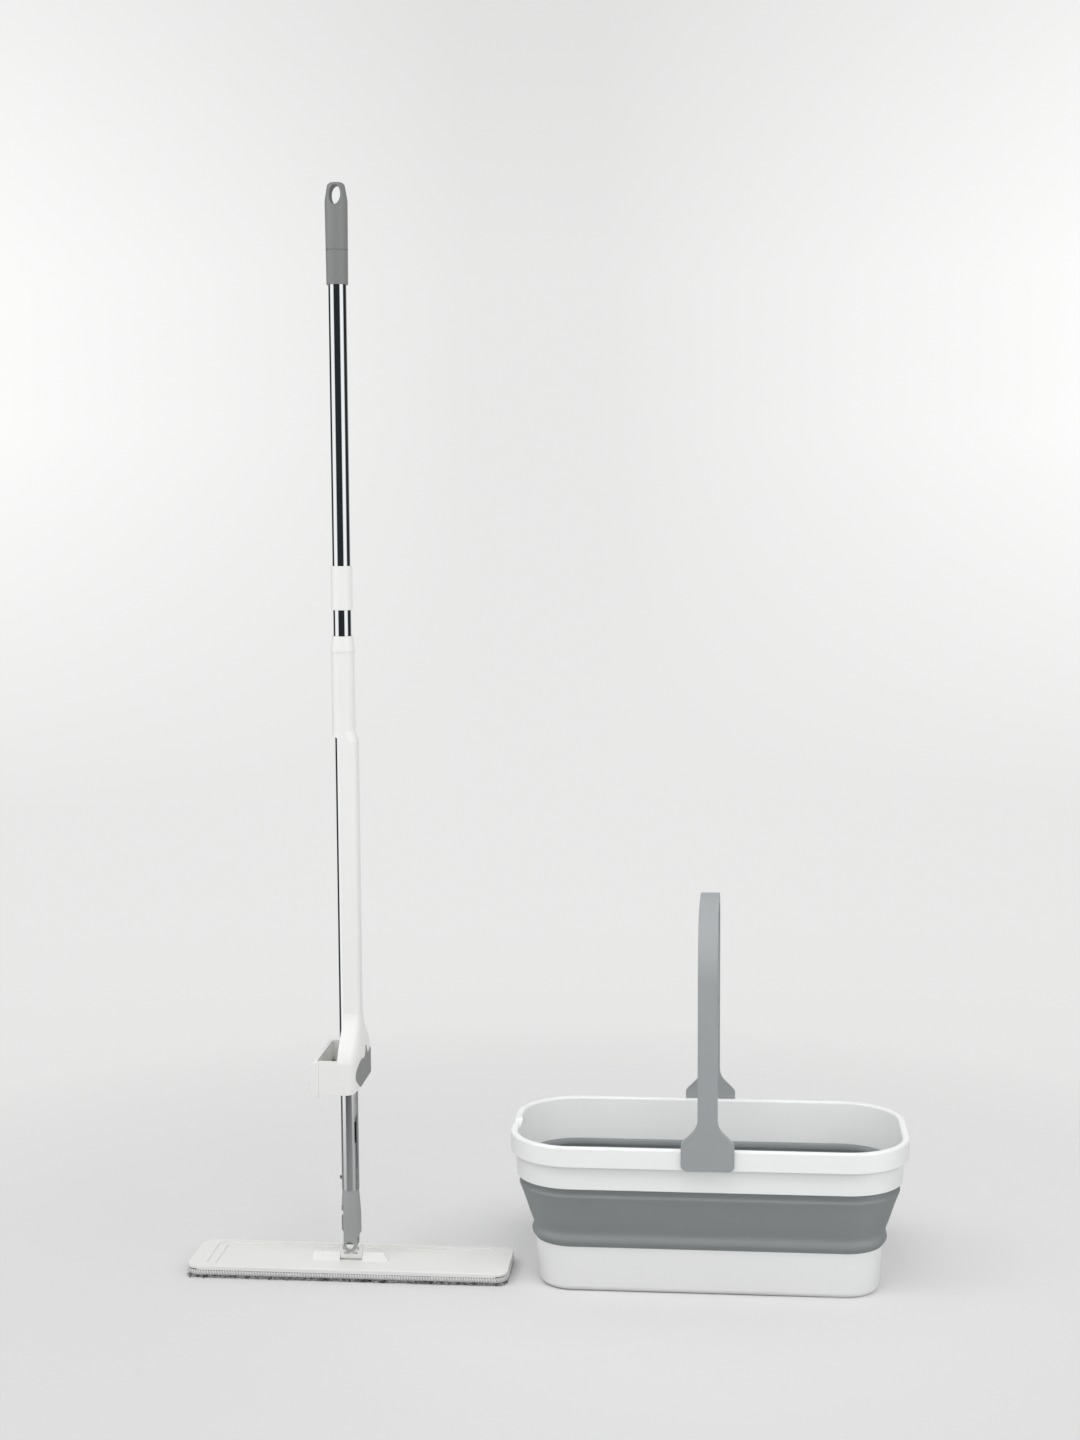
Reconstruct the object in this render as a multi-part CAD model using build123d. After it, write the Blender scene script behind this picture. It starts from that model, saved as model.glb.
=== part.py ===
from build123d import *
import math
import os

# Self-wringing flat mop standing beside a folding bucket.
# Millimetres, Z up, X to the right, Y away from the viewer.
# The mop is drawn with its pole axis at X = Y = 0, and the bucket with its centre there.
# Both are moved to their places in the set at the end.

# Bucket
RIM_LENGTH = 445.0
RIM_WIDTH = 208.0
RIM_CORNER = 72.0
BUCKET_HEIGHT = 174.0
SKIRT_DEPTH = 22.0
SKIRT_GAP = 3.2
RIM_PIECE_HEIGHT = 49.0
BASE_HEIGHT = 52.5
WALL = 2.4
BASE_FLOOR = 3.0
BASE_EDGE_RADIUS = 7.0
BAND_TOP_INSET = 7.0
BAND_BEND_INSET = 10.8
BAND_FOLD_INSET = 22.6
BAND_NECK_INSET = 26.0
BAND_BEAD_INSET = 24.2
BASE_TOP_INSET = 28.0
BASE_BOTTOM_INSET = 32.0
BAND_BEND_DROP = 7.0
BAND_BEND_RADIUS = 3.0
BAND_BEAD_HEIGHT = 8.5
BAND_NECK_HEIGHT = 18.0
BAND_FOLD_HEIGHT = 32.0
NOTCH_WIDTH = 34.0
NOTCH_DEPTH = 6.0
END_TAB_WIDTH = 14.0
END_TAB_HEIGHT = 7.0
END_TAB_DROP = 18.5
END_TAB_REACH = 2.5

# Bail handle
BAIL_HEIGHT = 268.0
BAIL_STRAP_WIDTH = 21.8
BAIL_THICKNESS = 4.4
BAIL_EDGE = 0.6
BAIL_SHOULDER = 66.0
BAIL_FOOT_WIDTH = 58.0
BAIL_FOOT_HEIGHT = 31.0
BAIL_NECK_HEIGHT = 20.0
BAIL_NECK_OVERLAP = 2.0
BAIL_FOOT_CORNER = 7.0
BAIL_SIDE_GAP = 0.4
BAIL_PIN_RADIUS = 6.0
BAIL_PIN_LENGTH = 4.8
BAIL_SOCKET_HALF = 15.0

# Mop head
PLATE_LENGTH = 368.0
PLATE_WIDTH = 88.0
PLATE_CORNER = 14.0
PLATE_THICKNESS = 4.9
PILE_THICKNESS = 4.4
BACKING_THICKNESS = 4.9
HOOK_THICKNESS = 0.4
PAD_OVERHANG = 1.0
HOOK_STRIP_LENGTH = 320.0
HOOK_STRIP_WIDTH = 22.0
HOOK_STRIP_SPACING = 48.0
TRAY_END_MARGIN = 21.0
TRAY_SIDE_MARGIN = 6.5
TRAY_STEP_WIDTH = 10.0
TRAY_STEP_DEPTH = 1.5
TRAY_DEPTH = 3.0
TRAY_CORNER = 10.0
END_RELIEF_LENGTH = 13.0
END_RELIEF_HEIGHT = 1.5
RIDGE_LENGTH = 88.0
RIDGE_RADIUS = 3.9
RIDGE_BASE_WIDTH = 17.0
RIDGE_END_SLOPE = 17.0
CATCH_OFFSET = 35.0
CATCH_WIDTH = 2.4
CATCH_HEIGHT = 2.0

# Universal joint
ROLL_AXIS_RISE = 1.6
ROLL_PIN_RADIUS = 2.0
SWING_AXIS_RISE = 16.4
BLOCK_WIDTH = 25.0
BLOCK_DEPTH = 9.0
BLOCK_HORN_WIDTH = 3.0
BLOCK_SHOULDER_DROP = 7.0
BLOCK_HORN_DROP = 3.0
BLOCK_HUB_RADIUS = 6.2
BLOCK_POCKET_WIDTH = 6.0
BLOCK_POCKET_HEIGHT = 2.4
BLOCK_POCKET_DEPTH = 2.6
BLOCK_POCKET_SPACING = 9.6
SWING_PIN_RADIUS = 4.25
SWING_PIN_FLAT = 1.0
EAR_WIDTH = 15.4
YOKE_RADIUS = 11.6
YOKE_NECK_RADIUS = 9.5
YOKE_SHOULDER_RISE = 7.5
YOKE_BEVEL_HEIGHT = 5.4
YOKE_FIN_TOP_RISE = 46.0
YOKE_TUBE_RISE = 64.0
YOKE_FLAT = 7.6
YOKE_FIN_REACH = 10.8
YOKE_FIN_THICKNESS = 3.0
YOKE_NOTCH_WIDTH = 5.2
YOKE_SPIGOT_LENGTH = 55.0
BUTTON_RISE = 77.0
BUTTON_RADIUS = 2.6
BUTTON_PROUD = 2.4
BUTTON_FLANGE_RADIUS = 3.6
BUTTON_TRAVEL = 3.0
SPRING_WIDTH = 4.6
SPRING_GAUGE = 0.6
SPRING_HEIGHT = 24.0
SPRING_SPREAD = 8.0

# Pole
POLE_RADIUS = 10.0
POLE_WALL = 1.0
POLE_JOINT_RISE = 751.5
POLE_TOP_RISE = 1166.5
SLOT_RISE = 144.0
SLOT_WIDTH = 2.4
SLOT_ANGLE = -42.0
COLLAR_LENGTH = 49.0
COLLAR_WALL = 1.9
PLUG_LENGTH = 84.0
PLUG_FLANGE = 1.0
GRIP_LENGTH = 110.0
GRIP_RADIUS = 12.6
GRIP_MOUTH_RADIUS = 11.9
GRIP_CROWN_RADIUS = 9.2
GRIP_SHOULDER_DROP = 20.0
HANG_HOLE_WIDTH = 12.8
HANG_HOLE_HEIGHT = 21.5
HANG_HOLE_MARGIN = 2.9
GRIP_SEAM_RISE = 37.0
GRIP_SEAM_SIZE = 0.5

# Wringer
FRAME_BOTTOM_RISE = 187.0
FRAME_HEIGHT = 38.0
FRAME_REACH = 25.0
FRAME_NOSE = 20.0
FRAME_CORNER_DEPTH = 16.0
FRAME_CORNER_WIDTH = 30.0
FRAME_HEEL_DEPTH = 9.0
FRAME_HEEL_HEIGHT = 12.0
FRAME_ARM = 5.0
FRAME_WALL = 3.0
FLARE_LENGTH = 46.0
FLARE_STEPS = 4
WINDOW_CLEARANCE = 1.0
CHANNEL_NOSE = 16.0
CHANNEL_HALF_WIDTH = 13.0
CHANNEL_CORNER = 9.0
CHANNEL_MOUTH = 3.8
CHANNEL_TOP_RISE = 586.0
CHANNEL_MOUTH_RADIUS = 6.0
SHOULDER_LENGTH = 12.0
SLEEVE_LENGTH = 493.5
SLEEVE_GRIP_RADIUS = 13.0
SLEEVE_RING_HEIGHT = 17.5
SLEEVE_RING_TOP_RADIUS = 11.9
SLEEVE_RING_RADIUS = 13.7
BUSH_LENGTH = 16.0
BUSH_WALL = 1.2
CAP_THICKNESS = 10.4
CAP_DROP = 2.5
CAP_POCKET = 2.5
CAP_EDGE = 3.0
CAP_SEAM = 0.6
BLADE_THICKNESS = 3.0
BLADE_GROOVE = 4.0
BLADE_REACH = 3.0
BLADE_RISE = 14.0
SCREW_RADIUS = 1.3
SCREW_HEAD_RADIUS = 2.3
SCREW_HEAD_HEIGHT = 1.8
SCREW_LENGTH = 17.0
INSERT_PROUD = 0.8
INSERT_DEPTH = 1.2
INSERT_BOTTOM_RISE = 4.5
INSERT_LOBE_RISE = 17.0
INSERT_WAIST_RISE = 36.0
INSERT_TIP_RISE = 45.5
INSERT_LOBE_HALF = 42.0
INSERT_SOLE_HALF = 33.0
INSERT_WAIST_HALF = 28.0

# Clearances
RUNNING_FIT = 0.05
PRESS_FIT = 0.02
SLIDE_GAP = 0.4
HINGE_GAP = 0.4

# Placing of the set
SET_GAP = 1.5
MOP_FORWARD = 22.0

# Heights that follow from the sizes above
RIM_BOTTOM = BUCKET_HEIGHT - RIM_PIECE_HEIGHT
BAIL_PIVOT = BUCKET_HEIGHT - SKIRT_DEPTH / 2
BACKING_TOP = PILE_THICKNESS + BACKING_THICKNESS
PLATE_BOTTOM = BACKING_TOP + HOOK_THICKNESS
PLATE_TOP = PLATE_BOTTOM + PLATE_THICKNESS
TRAY_FLOOR = PLATE_TOP - TRAY_DEPTH
ROLL_AXIS = PLATE_TOP + ROLL_AXIS_RISE
SWING_AXIS = PLATE_TOP + SWING_AXIS_RISE
TUBE_BOTTOM = SWING_AXIS + YOKE_TUBE_RISE
POLE_JOINT = SWING_AXIS + POLE_JOINT_RISE
POLE_TOP = SWING_AXIS + POLE_TOP_RISE
GRIP_BOTTOM = POLE_TOP + HANG_HOLE_HEIGHT + 2 * HANG_HOLE_MARGIN - GRIP_LENGTH
GRIP_TOP = GRIP_BOTTOM + GRIP_LENGTH
FRAME_BOTTOM = SWING_AXIS + FRAME_BOTTOM_RISE
FRAME_TOP = FRAME_BOTTOM + FRAME_HEIGHT
CHANNEL_TOP = SWING_AXIS + CHANNEL_TOP_RISE
SLEEVE_TOP = FRAME_BOTTOM + SLEEVE_LENGTH
WINDOW_HALF = PLATE_WIDTH / 2 + PAD_OVERHANG + WINDOW_CLEARANCE
FRAME_HALF = WINDOW_HALF + FRAME_ARM
BORE_RADIUS = POLE_RADIUS + SLIDE_GAP
PAD_LENGTH = PLATE_LENGTH + 2 * PAD_OVERHANG
PAD_WIDTH = PLATE_WIDTH + 2 * PAD_OVERHANG
SET_LENGTH = PAD_LENGTH + SET_GAP + RIM_LENGTH + END_TAB_REACH
MOP_PLACE = Pos((PAD_LENGTH - SET_LENGTH) / 2, -MOP_FORWARD, 0)
BUCKET_PLACE = Pos((SET_LENGTH - RIM_LENGTH) / 2 - END_TAB_REACH, 0, 0)


def block(x0, x1, y0, y1, z0, z1):
    """Box between two corners."""
    size = Box(x1 - x0, y1 - y0, z1 - z0)
    return Pos((x0 + x1) / 2, (y0 + y1) / 2, (z0 + z1) / 2) * size


def tube(outer, inner, z0, z1):
    """Upright tube round the Z axis."""
    ring = Circle(outer) - Circle(inner)
    return Pos(0, 0, z0) * extrude(ring, z1 - z0)


def rod(radius, z0, z1):
    """Upright cylinder on the Z axis."""
    return Pos(0, 0, z0) * extrude(Circle(radius), z1 - z0)


def rod_along_x(radius, x0, x1, z):
    """Cylinder along X at a height."""
    return Pos(x0, 0, z) * Rot(0, 90, 0) * extrude(Circle(radius), x1 - x0)


def rod_along_y(radius, y0, y1, z):
    """Cylinder along Y at a height."""
    return Pos(0, y0, z) * Rot(-90, 0, 0) * extrude(Circle(radius), y1 - y0)


def slab(length, width, corner, z0, z1):
    """Flat plate with rounded corners, centred on the Z axis."""
    return Pos(0, 0, z0) * extrude(RectangleRounded(length, width, corner), z1 - z0)


def top_edges(part, z):
    """Edges of a part that lie wholly at a height."""
    return part.edges().filter_by_position(Axis.Z, z, z)


def rim_path():
    """Closed outline of the rim's outer face, starting at the middle of its front."""
    half_x, half_y = RIM_LENGTH / 2, RIM_WIDTH / 2
    flat_x, flat_y = half_x - RIM_CORNER, half_y - RIM_CORNER
    corner = RIM_CORNER
    return Wire([
        Line((0, -half_y), (flat_x, -half_y)),
        RadiusArc((flat_x, -half_y), (half_x, -flat_y), -corner),
        Line((half_x, -flat_y), (half_x, flat_y)),
        RadiusArc((half_x, flat_y), (flat_x, half_y), -corner),
        Line((flat_x, half_y), (-flat_x, half_y)),
        RadiusArc((-flat_x, half_y), (-half_x, flat_y), -corner),
        Line((-half_x, flat_y), (-half_x, -flat_y)),
        RadiusArc((-half_x, -flat_y), (-flat_x, -half_y), -corner),
        Line((-flat_x, -half_y), (0, -half_y)),
    ])


def bucket_wall(profile):
    """Wall swept round the bucket from a profile of (distance inside the rim face, height)."""
    section = Plane.YZ * Pos(-RIM_WIDTH / 2, 0) * profile
    return sweep(section, path=rim_path())


def make_base():
    """Tub at the bottom: tapered wall with a rounded foot edge and a flat floor."""
    inner_top = BASE_TOP_INSET + WALL
    inner_bottom = BASE_BOTTOM_INSET + WALL
    profile = Polygon(
        (BASE_TOP_INSET, BASE_HEIGHT),
        (BASE_BOTTOM_INSET, 0),
        (BASE_BOTTOM_INSET + 2 * BASE_EDGE_RADIUS, 0),
        (BASE_BOTTOM_INSET + 2 * BASE_EDGE_RADIUS, BASE_FLOOR),
        (inner_bottom, BASE_FLOOR),
        (inner_top, BASE_HEIGHT),
        align=None,
    )
    foot = profile.vertices().sort_by(Axis.Y)[:2].sort_by(Axis.X)[0]
    wall = bucket_wall(fillet(foot, BASE_EDGE_RADIUS))
    floor_inset = BASE_BOTTOM_INSET + 1.5 * BASE_EDGE_RADIUS
    floor = slab(
        RIM_LENGTH - 2 * floor_inset, RIM_WIDTH - 2 * floor_inset, RIM_CORNER - floor_inset, 0, BASE_FLOOR
    )
    return wall + floor


def make_band():
    """Silicone wall: a bend under the rim, a long inward slope and a bead above the base."""
    slope = [
        (BAND_TOP_INSET, RIM_BOTTOM),
        (BAND_BEND_INSET, RIM_BOTTOM - BAND_BEND_DROP),
        (BAND_FOLD_INSET, BASE_HEIGHT + BAND_FOLD_HEIGHT),
        (BAND_NECK_INSET, BASE_HEIGHT + BAND_NECK_HEIGHT),
        (BAND_BEAD_INSET, BASE_HEIGHT + BAND_BEAD_HEIGHT),
        (BASE_TOP_INSET, BASE_HEIGHT),
    ]
    inner = [(inset + WALL, z) for inset, z in slope]
    profile = Polygon(*slope, *reversed(inner), align=None)
    bends = profile.vertices().filter_by(lambda v: BASE_HEIGHT + 1 < v.Y < RIM_BOTTOM - 1)
    return bucket_wall(fillet(bends, BAND_BEND_RADIUS))


def make_rim():
    """Rim ring: rounded lip, hanging skirt, wall down to the band, pour notch, end tab and bail sockets."""
    top, bottom, skirt = BUCKET_HEIGHT, RIM_BOTTOM, BUCKET_HEIGHT - SKIRT_DEPTH
    gap_top = top - NOTCH_DEPTH - WALL
    wall_outer = WALL + SKIRT_GAP
    profile = Polygon(
        (0, skirt),
        (0, top),
        (wall_outer + WALL, top),
        (BAND_TOP_INSET + WALL, bottom),
        (BAND_TOP_INSET, bottom),
        (wall_outer, skirt),
        (wall_outer, gap_top),
        (WALL, gap_top),
        (WALL, skirt),
        align=None,
    )
    lip = profile.vertices().sort_by(Axis.Y)[-2:]
    ring = bucket_wall(fillet(lip, WALL))
    for side in (-1, 1):
        y_skirt, y_wall = side * (RIM_WIDTH / 2 - WALL / 2), side * (RIM_WIDTH / 2 - wall_outer - WALL / 2)
        ring += block(
            -BAIL_SOCKET_HALF, BAIL_SOCKET_HALF, min(y_skirt, y_wall), max(y_skirt, y_wall),
            skirt, top - WALL,
        )
        hole_y = side * (RIM_WIDTH / 2 - BAIL_PIN_LENGTH / 2 + BAIL_SIDE_GAP)
        hole_half = (BAIL_PIN_LENGTH + 2 * BAIL_SIDE_GAP) / 2
        hole_radius = BAIL_PIN_RADIUS + RUNNING_FIT
        ring -= rod_along_y(hole_radius, hole_y - hole_half, hole_y + hole_half, BAIL_PIVOT)
    notch = block(
        -RIM_LENGTH, -RIM_LENGTH / 2 + RIM_CORNER / 2, -NOTCH_WIDTH / 2, NOTCH_WIDTH / 2,
        top - NOTCH_DEPTH, top + 1,
    )
    ring -= fillet(notch.edges().filter_by(Axis.X).group_by(Axis.Z)[0], NOTCH_DEPTH / 2)
    tab = block(
        RIM_LENGTH / 2 - WALL / 2, RIM_LENGTH / 2 + END_TAB_REACH,
        -END_TAB_WIDTH / 2, END_TAB_WIDTH / 2,
        top - END_TAB_DROP - END_TAB_HEIGHT / 2, top - END_TAB_DROP + END_TAB_HEIGHT / 2,
    )
    return ring + fillet(tab.edges().filter_by(Axis.X), END_TAB_HEIGHT / 3)


def make_bail():
    """Bail handle: a flat strap bent over the bucket, widening to a foot with a pivot pin on each side."""
    y_mid = RIM_WIDTH / 2 + BAIL_SIDE_GAP + BAIL_THICKNESS / 2
    foot_bottom = BUCKET_HEIGHT - SKIRT_DEPTH
    foot_top = foot_bottom + BAIL_FOOT_HEIGHT
    z_top = BAIL_PIVOT + BAIL_HEIGHT - BAIL_THICKNESS / 2
    neck_top = foot_top + BAIL_NECK_HEIGHT
    neck_foot = neck_top - BAIL_NECK_OVERLAP
    path = Plane.YZ * FilletPolyline(
        (-y_mid, neck_top), (-y_mid, z_top), (y_mid, z_top), (y_mid, neck_top), radius=BAIL_SHOULDER
    )
    strap = Rectangle(BAIL_STRAP_WIDTH, BAIL_THICKNESS)
    strap = chamfer(strap.vertices(), BAIL_EDGE)
    bail = sweep(Pos(0, -y_mid, neck_top) * strap, path=path)
    half_foot, half_strap = BAIL_FOOT_WIDTH / 2, BAIL_STRAP_WIDTH / 2
    outline = Polygon(
        (-half_foot, foot_bottom), (half_foot, foot_bottom), (half_foot, foot_top), (half_strap, neck_foot),
        (half_strap, neck_top + BAIL_NECK_HEIGHT), (-half_strap, neck_top + BAIL_NECK_HEIGHT),
        (-half_strap, neck_foot), (-half_foot, foot_top),
        align=None,
    )
    corners = outline.vertices().filter_by(lambda v: abs(abs(v.X) - half_foot) < 0.01)
    outline = fillet(corners, BAIL_FOOT_CORNER)
    necks = outline.vertices().filter_by(lambda v: abs(v.Y - neck_foot) < 0.01)
    outline = fillet(necks, BAIL_NECK_HEIGHT)
    for side in (-1, 1):
        face_y = side * (y_mid + BAIL_THICKNESS / 2)
        face = Plane((0, face_y, 0), x_dir=(1, 0, 0), z_dir=(0, -1, 0))
        foot = face * extrude(outline, side * BAIL_THICKNESS)
        bail += chamfer(foot.edges().group_by(Axis.Y)[0 if side < 0 else -1], BAIL_EDGE)
        pin_end = side * (RIM_WIDTH / 2 - BAIL_PIN_LENGTH + BAIL_SIDE_GAP)
        pin_root = side * y_mid
        bail += rod_along_y(BAIL_PIN_RADIUS, min(pin_end, pin_root), max(pin_end, pin_root), BAIL_PIVOT)
    return bail


def make_plate():
    """Mop plate: stepped tray on top, hinge ridge split for the block, fold catch and relieved ends."""
    plate = slab(PLATE_LENGTH, PLATE_WIDTH, PLATE_CORNER, PLATE_BOTTOM, PLATE_TOP)
    plate = fillet(top_edges(plate, PLATE_TOP), PLATE_THICKNESS / 4)
    for step, depth in ((0, TRAY_STEP_DEPTH), (TRAY_STEP_WIDTH, TRAY_DEPTH)):
        plate -= slab(
            PLATE_LENGTH - 2 * (TRAY_END_MARGIN + step), PLATE_WIDTH - 2 * (TRAY_SIDE_MARGIN + step / 2),
            TRAY_CORNER - step / 2, PLATE_TOP - depth, PLATE_TOP + 1,
        )
    for side in (-1, 1):
        inner, outer = side * (PLATE_LENGTH / 2 - END_RELIEF_LENGTH), side * PLATE_LENGTH
        plate -= block(
            min(inner, outer), max(inner, outer), -PLATE_WIDTH, PLATE_WIDTH,
            PLATE_BOTTOM - 1, PLATE_BOTTOM + END_RELIEF_HEIGHT,
        )
    rise = ROLL_AXIS - TRAY_FLOOR
    half_base = RIDGE_BASE_WIDTH / 2
    crest = Pos(0, rise) * Circle(RIDGE_RADIUS)
    ridge = make_hull(crest.edges() + [Line((-half_base, 0), (half_base, 0))])
    ridge = Pos(-RIDGE_LENGTH / 2, 0, TRAY_FLOOR) * (Plane.YZ * extrude(ridge, RIDGE_LENGTH))
    for side in (-1, 1):
        slope = Polygon(
            (side * RIDGE_LENGTH / 2, TRAY_FLOOR), (side * RIDGE_LENGTH, TRAY_FLOOR),
            (side * RIDGE_LENGTH, SWING_AXIS), (side * (RIDGE_LENGTH / 2 - RIDGE_END_SLOPE), SWING_AXIS),
            align=None,
        )
        ridge -= Pos(0, RIDGE_BASE_WIDTH, 0) * (Plane.XZ * extrude(slope, 2 * RIDGE_BASE_WIDTH))
    ridge += block(
        -CATCH_OFFSET - CATCH_WIDTH / 2, -CATCH_OFFSET + CATCH_WIDTH / 2, -CATCH_WIDTH / 2, CATCH_WIDTH / 2,
        ROLL_AXIS, ROLL_AXIS + RIDGE_RADIUS + CATCH_HEIGHT,
    )
    plate += ridge
    gap_half = BLOCK_WIDTH / 2 + HINGE_GAP
    plate -= block(-gap_half, gap_half, -half_base - 1, half_base + 1, TRAY_FLOOR, SWING_AXIS)
    plate -= rod_along_x(BLOCK_DEPTH / 2 + HINGE_GAP, -gap_half, gap_half, ROLL_AXIS)
    pin_half = roll_pin_half() + PRESS_FIT
    return plate - rod_along_x(ROLL_PIN_RADIUS + PRESS_FIT, -pin_half, pin_half, ROLL_AXIS)


def make_roll_pin():
    """Steel pin along X on which the plate rolls."""
    return rod_along_x(ROLL_PIN_RADIUS, -roll_pin_half(), roll_pin_half(), ROLL_AXIS)


def roll_pin_half():
    """Half the length of the roll pin, ending inside the ridge."""
    return RIDGE_LENGTH / 2 - RIDGE_END_SLOPE / 2 - RIDGE_RADIUS


def make_hook_strips():
    """Hook strips under the plate that hold the pad."""
    strips = []
    for side in (-1, 1):
        y_mid = side * HOOK_STRIP_SPACING / 2
        strips.append(block(
            -HOOK_STRIP_LENGTH / 2, HOOK_STRIP_LENGTH / 2,
            y_mid - HOOK_STRIP_WIDTH / 2, y_mid + HOOK_STRIP_WIDTH / 2, BACKING_TOP, PLATE_BOTTOM,
        ))
    return Compound(children=strips)


def make_backing():
    """Knitted pad body with a soft rounded edge all round."""
    body = slab(PAD_LENGTH, PAD_WIDTH, PLATE_CORNER + PAD_OVERHANG, PILE_THICKNESS, BACKING_TOP)
    return chamfer(body.edges().filter_by(Plane.XY), BACKING_THICKNESS * 0.3)


def make_pile():
    """Microfibre pile under the pad, drawn in at its edge."""
    length, width = PAD_LENGTH - BACKING_THICKNESS, PAD_WIDTH - BACKING_THICKNESS
    body = slab(length, width, PLATE_CORNER, 0, PILE_THICKNESS)
    return chamfer(top_edges(body, 0), PILE_THICKNESS * 0.3)


def make_hinge_block():
    """Cross piece of the universal joint: roll barrel below, hub for the swing pin above."""
    half_x, half_y = BLOCK_WIDTH / 2, BLOCK_DEPTH / 2
    shoulder, horn = SWING_AXIS - BLOCK_SHOULDER_DROP, SWING_AXIS - BLOCK_HORN_DROP
    part = rod_along_x(half_y, -half_x, half_x, ROLL_AXIS)
    part += block(-half_x, half_x, -half_y, half_y, ROLL_AXIS, shoulder)
    for side in (-1, 1):
        inner, outer = side * (half_x - BLOCK_HORN_WIDTH), side * half_x
        part += block(min(inner, outer), max(inner, outer), -half_y, half_y, shoulder - 1, horn)
    part += block(-BLOCK_HUB_RADIUS, BLOCK_HUB_RADIUS, -half_y, half_y, shoulder - 1, SWING_AXIS)
    part += rod_along_y(BLOCK_HUB_RADIUS, -half_y, half_y, SWING_AXIS)
    pocket_z = (ROLL_AXIS + shoulder) / 2
    for x_side in (-1, 1):
        for y_side in (-1, 1):
            x_mid = x_side * BLOCK_POCKET_SPACING / 2
            y_mid = y_side * half_y
            part -= block(
                x_mid - BLOCK_POCKET_WIDTH / 2, x_mid + BLOCK_POCKET_WIDTH / 2,
                y_mid - BLOCK_POCKET_DEPTH, y_mid + BLOCK_POCKET_DEPTH,
                pocket_z - BLOCK_POCKET_HEIGHT / 2, pocket_z + BLOCK_POCKET_HEIGHT / 2,
            )
    part -= swing_pin_shape(PRESS_FIT, half_y + 1)
    return part - rod_along_x(ROLL_PIN_RADIUS + RUNNING_FIT, -half_x - 1, half_x + 1, ROLL_AXIS)


def swing_pin_shape(grow, half_length):
    """D-shaped shaft along Y on the swing axis."""
    shaft = rod_along_y(SWING_PIN_RADIUS + grow, -half_length, half_length, SWING_AXIS)
    flat = SWING_AXIS + SWING_PIN_FLAT + grow
    return shaft - block(-EAR_WIDTH, EAR_WIDTH, -2 * half_length, 2 * half_length, flat, flat + EAR_WIDTH)


def make_swing_pin():
    """D-shaped pin held in the block; its round side runs in the yoke's ears."""
    return swing_pin_shape(0, ear_outer() - HINGE_GAP)


def ear_inner():
    """Distance from the middle to the inner face of an ear."""
    return BLOCK_DEPTH / 2 + HINGE_GAP


def ear_outer():
    """Distance from the middle to the outer face of an ear, at the edge of its pin hole."""
    return math.sqrt(YOKE_RADIUS**2 - SWING_PIN_RADIUS**2)


def fork_depth():
    """Height of the fork above the swing axis that clears the block's horns as they turn."""
    return math.hypot(BLOCK_WIDTH / 2, BLOCK_HORN_DROP) + HINGE_GAP


def make_yoke():
    """Yoke: spigot in the tube, turned body with a fold fin on one side, cut to two round fork ears."""
    shoulder = SWING_AXIS + YOKE_SHOULDER_RISE
    bevel_top = shoulder + YOKE_BEVEL_HEIGHT
    fin_top = SWING_AXIS + YOKE_FIN_TOP_RISE
    ear = EAR_WIDTH / 2
    bar = Polygon(
        (0, SWING_AXIS - ear), (YOKE_RADIUS, SWING_AXIS - ear), (YOKE_RADIUS, SWING_AXIS + CATCH_OFFSET),
        (YOKE_NECK_RADIUS, TUBE_BOTTOM), (0, TUBE_BOTTOM), align=None,
    )
    outline = Polygon(
        (-ear, SWING_AXIS), (ear, SWING_AXIS), (ear, shoulder), (YOKE_RADIUS, bevel_top),
        (YOKE_RADIUS, TUBE_BOTTOM), (-YOKE_RADIUS, TUBE_BOTTOM),
        (-YOKE_RADIUS, bevel_top), (-ear, shoulder), align=None,
    )
    cheeks = Pos(0, YOKE_RADIUS, 0) * (Plane.XZ * extrude(outline, 2 * YOKE_RADIUS))
    cheeks += rod_along_y(ear, -YOKE_RADIUS, YOKE_RADIUS, SWING_AXIS)
    body = revolve(Plane.XZ * bar, Axis.Z) & cheeks
    body -= block(-2 * YOKE_RADIUS, -YOKE_FLAT, -YOKE_RADIUS, YOKE_RADIUS, shoulder, fin_top)
    half_fin = YOKE_FIN_THICKNESS / 2
    fin = block(-YOKE_FIN_REACH, 0, -half_fin, half_fin, SWING_AXIS + fork_depth(), fin_top)
    fin = fillet(fin.edges().filter_by(Axis.Y).group_by(Axis.X)[0], YOKE_FIN_REACH - YOKE_FLAT)
    notch_z = SWING_AXIS + CATCH_OFFSET
    fin -= block(
        -YOKE_FIN_REACH - 1, -YOKE_FLAT, -YOKE_FIN_THICKNESS, YOKE_FIN_THICKNESS,
        notch_z - YOKE_NOTCH_WIDTH / 2, notch_z + YOKE_NOTCH_WIDTH / 2,
    )
    yoke = body + fin
    spigot_radius = POLE_RADIUS - POLE_WALL - PRESS_FIT
    yoke += rod(spigot_radius, TUBE_BOTTOM, TUBE_BOTTOM + YOKE_SPIGOT_LENGTH)
    yoke -= block(
        -2 * YOKE_RADIUS, 2 * YOKE_RADIUS, -ear_inner(), ear_inner(),
        SWING_AXIS - EAR_WIDTH, SWING_AXIS + fork_depth(),
    )
    yoke -= rod_along_y(SWING_PIN_RADIUS + RUNNING_FIT, -2 * YOKE_RADIUS, 2 * YOKE_RADIUS, SWING_AXIS)
    button_z = SWING_AXIS + BUTTON_RISE
    well_half = BUTTON_FLANGE_RADIUS + SLIDE_GAP
    return yoke - block(
        -2 * POLE_RADIUS, SPRING_SPREAD, -well_half, well_half,
        button_z - well_half, button_z + SPRING_HEIGHT + SPRING_GAUGE + SLIDE_GAP,
    )


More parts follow.
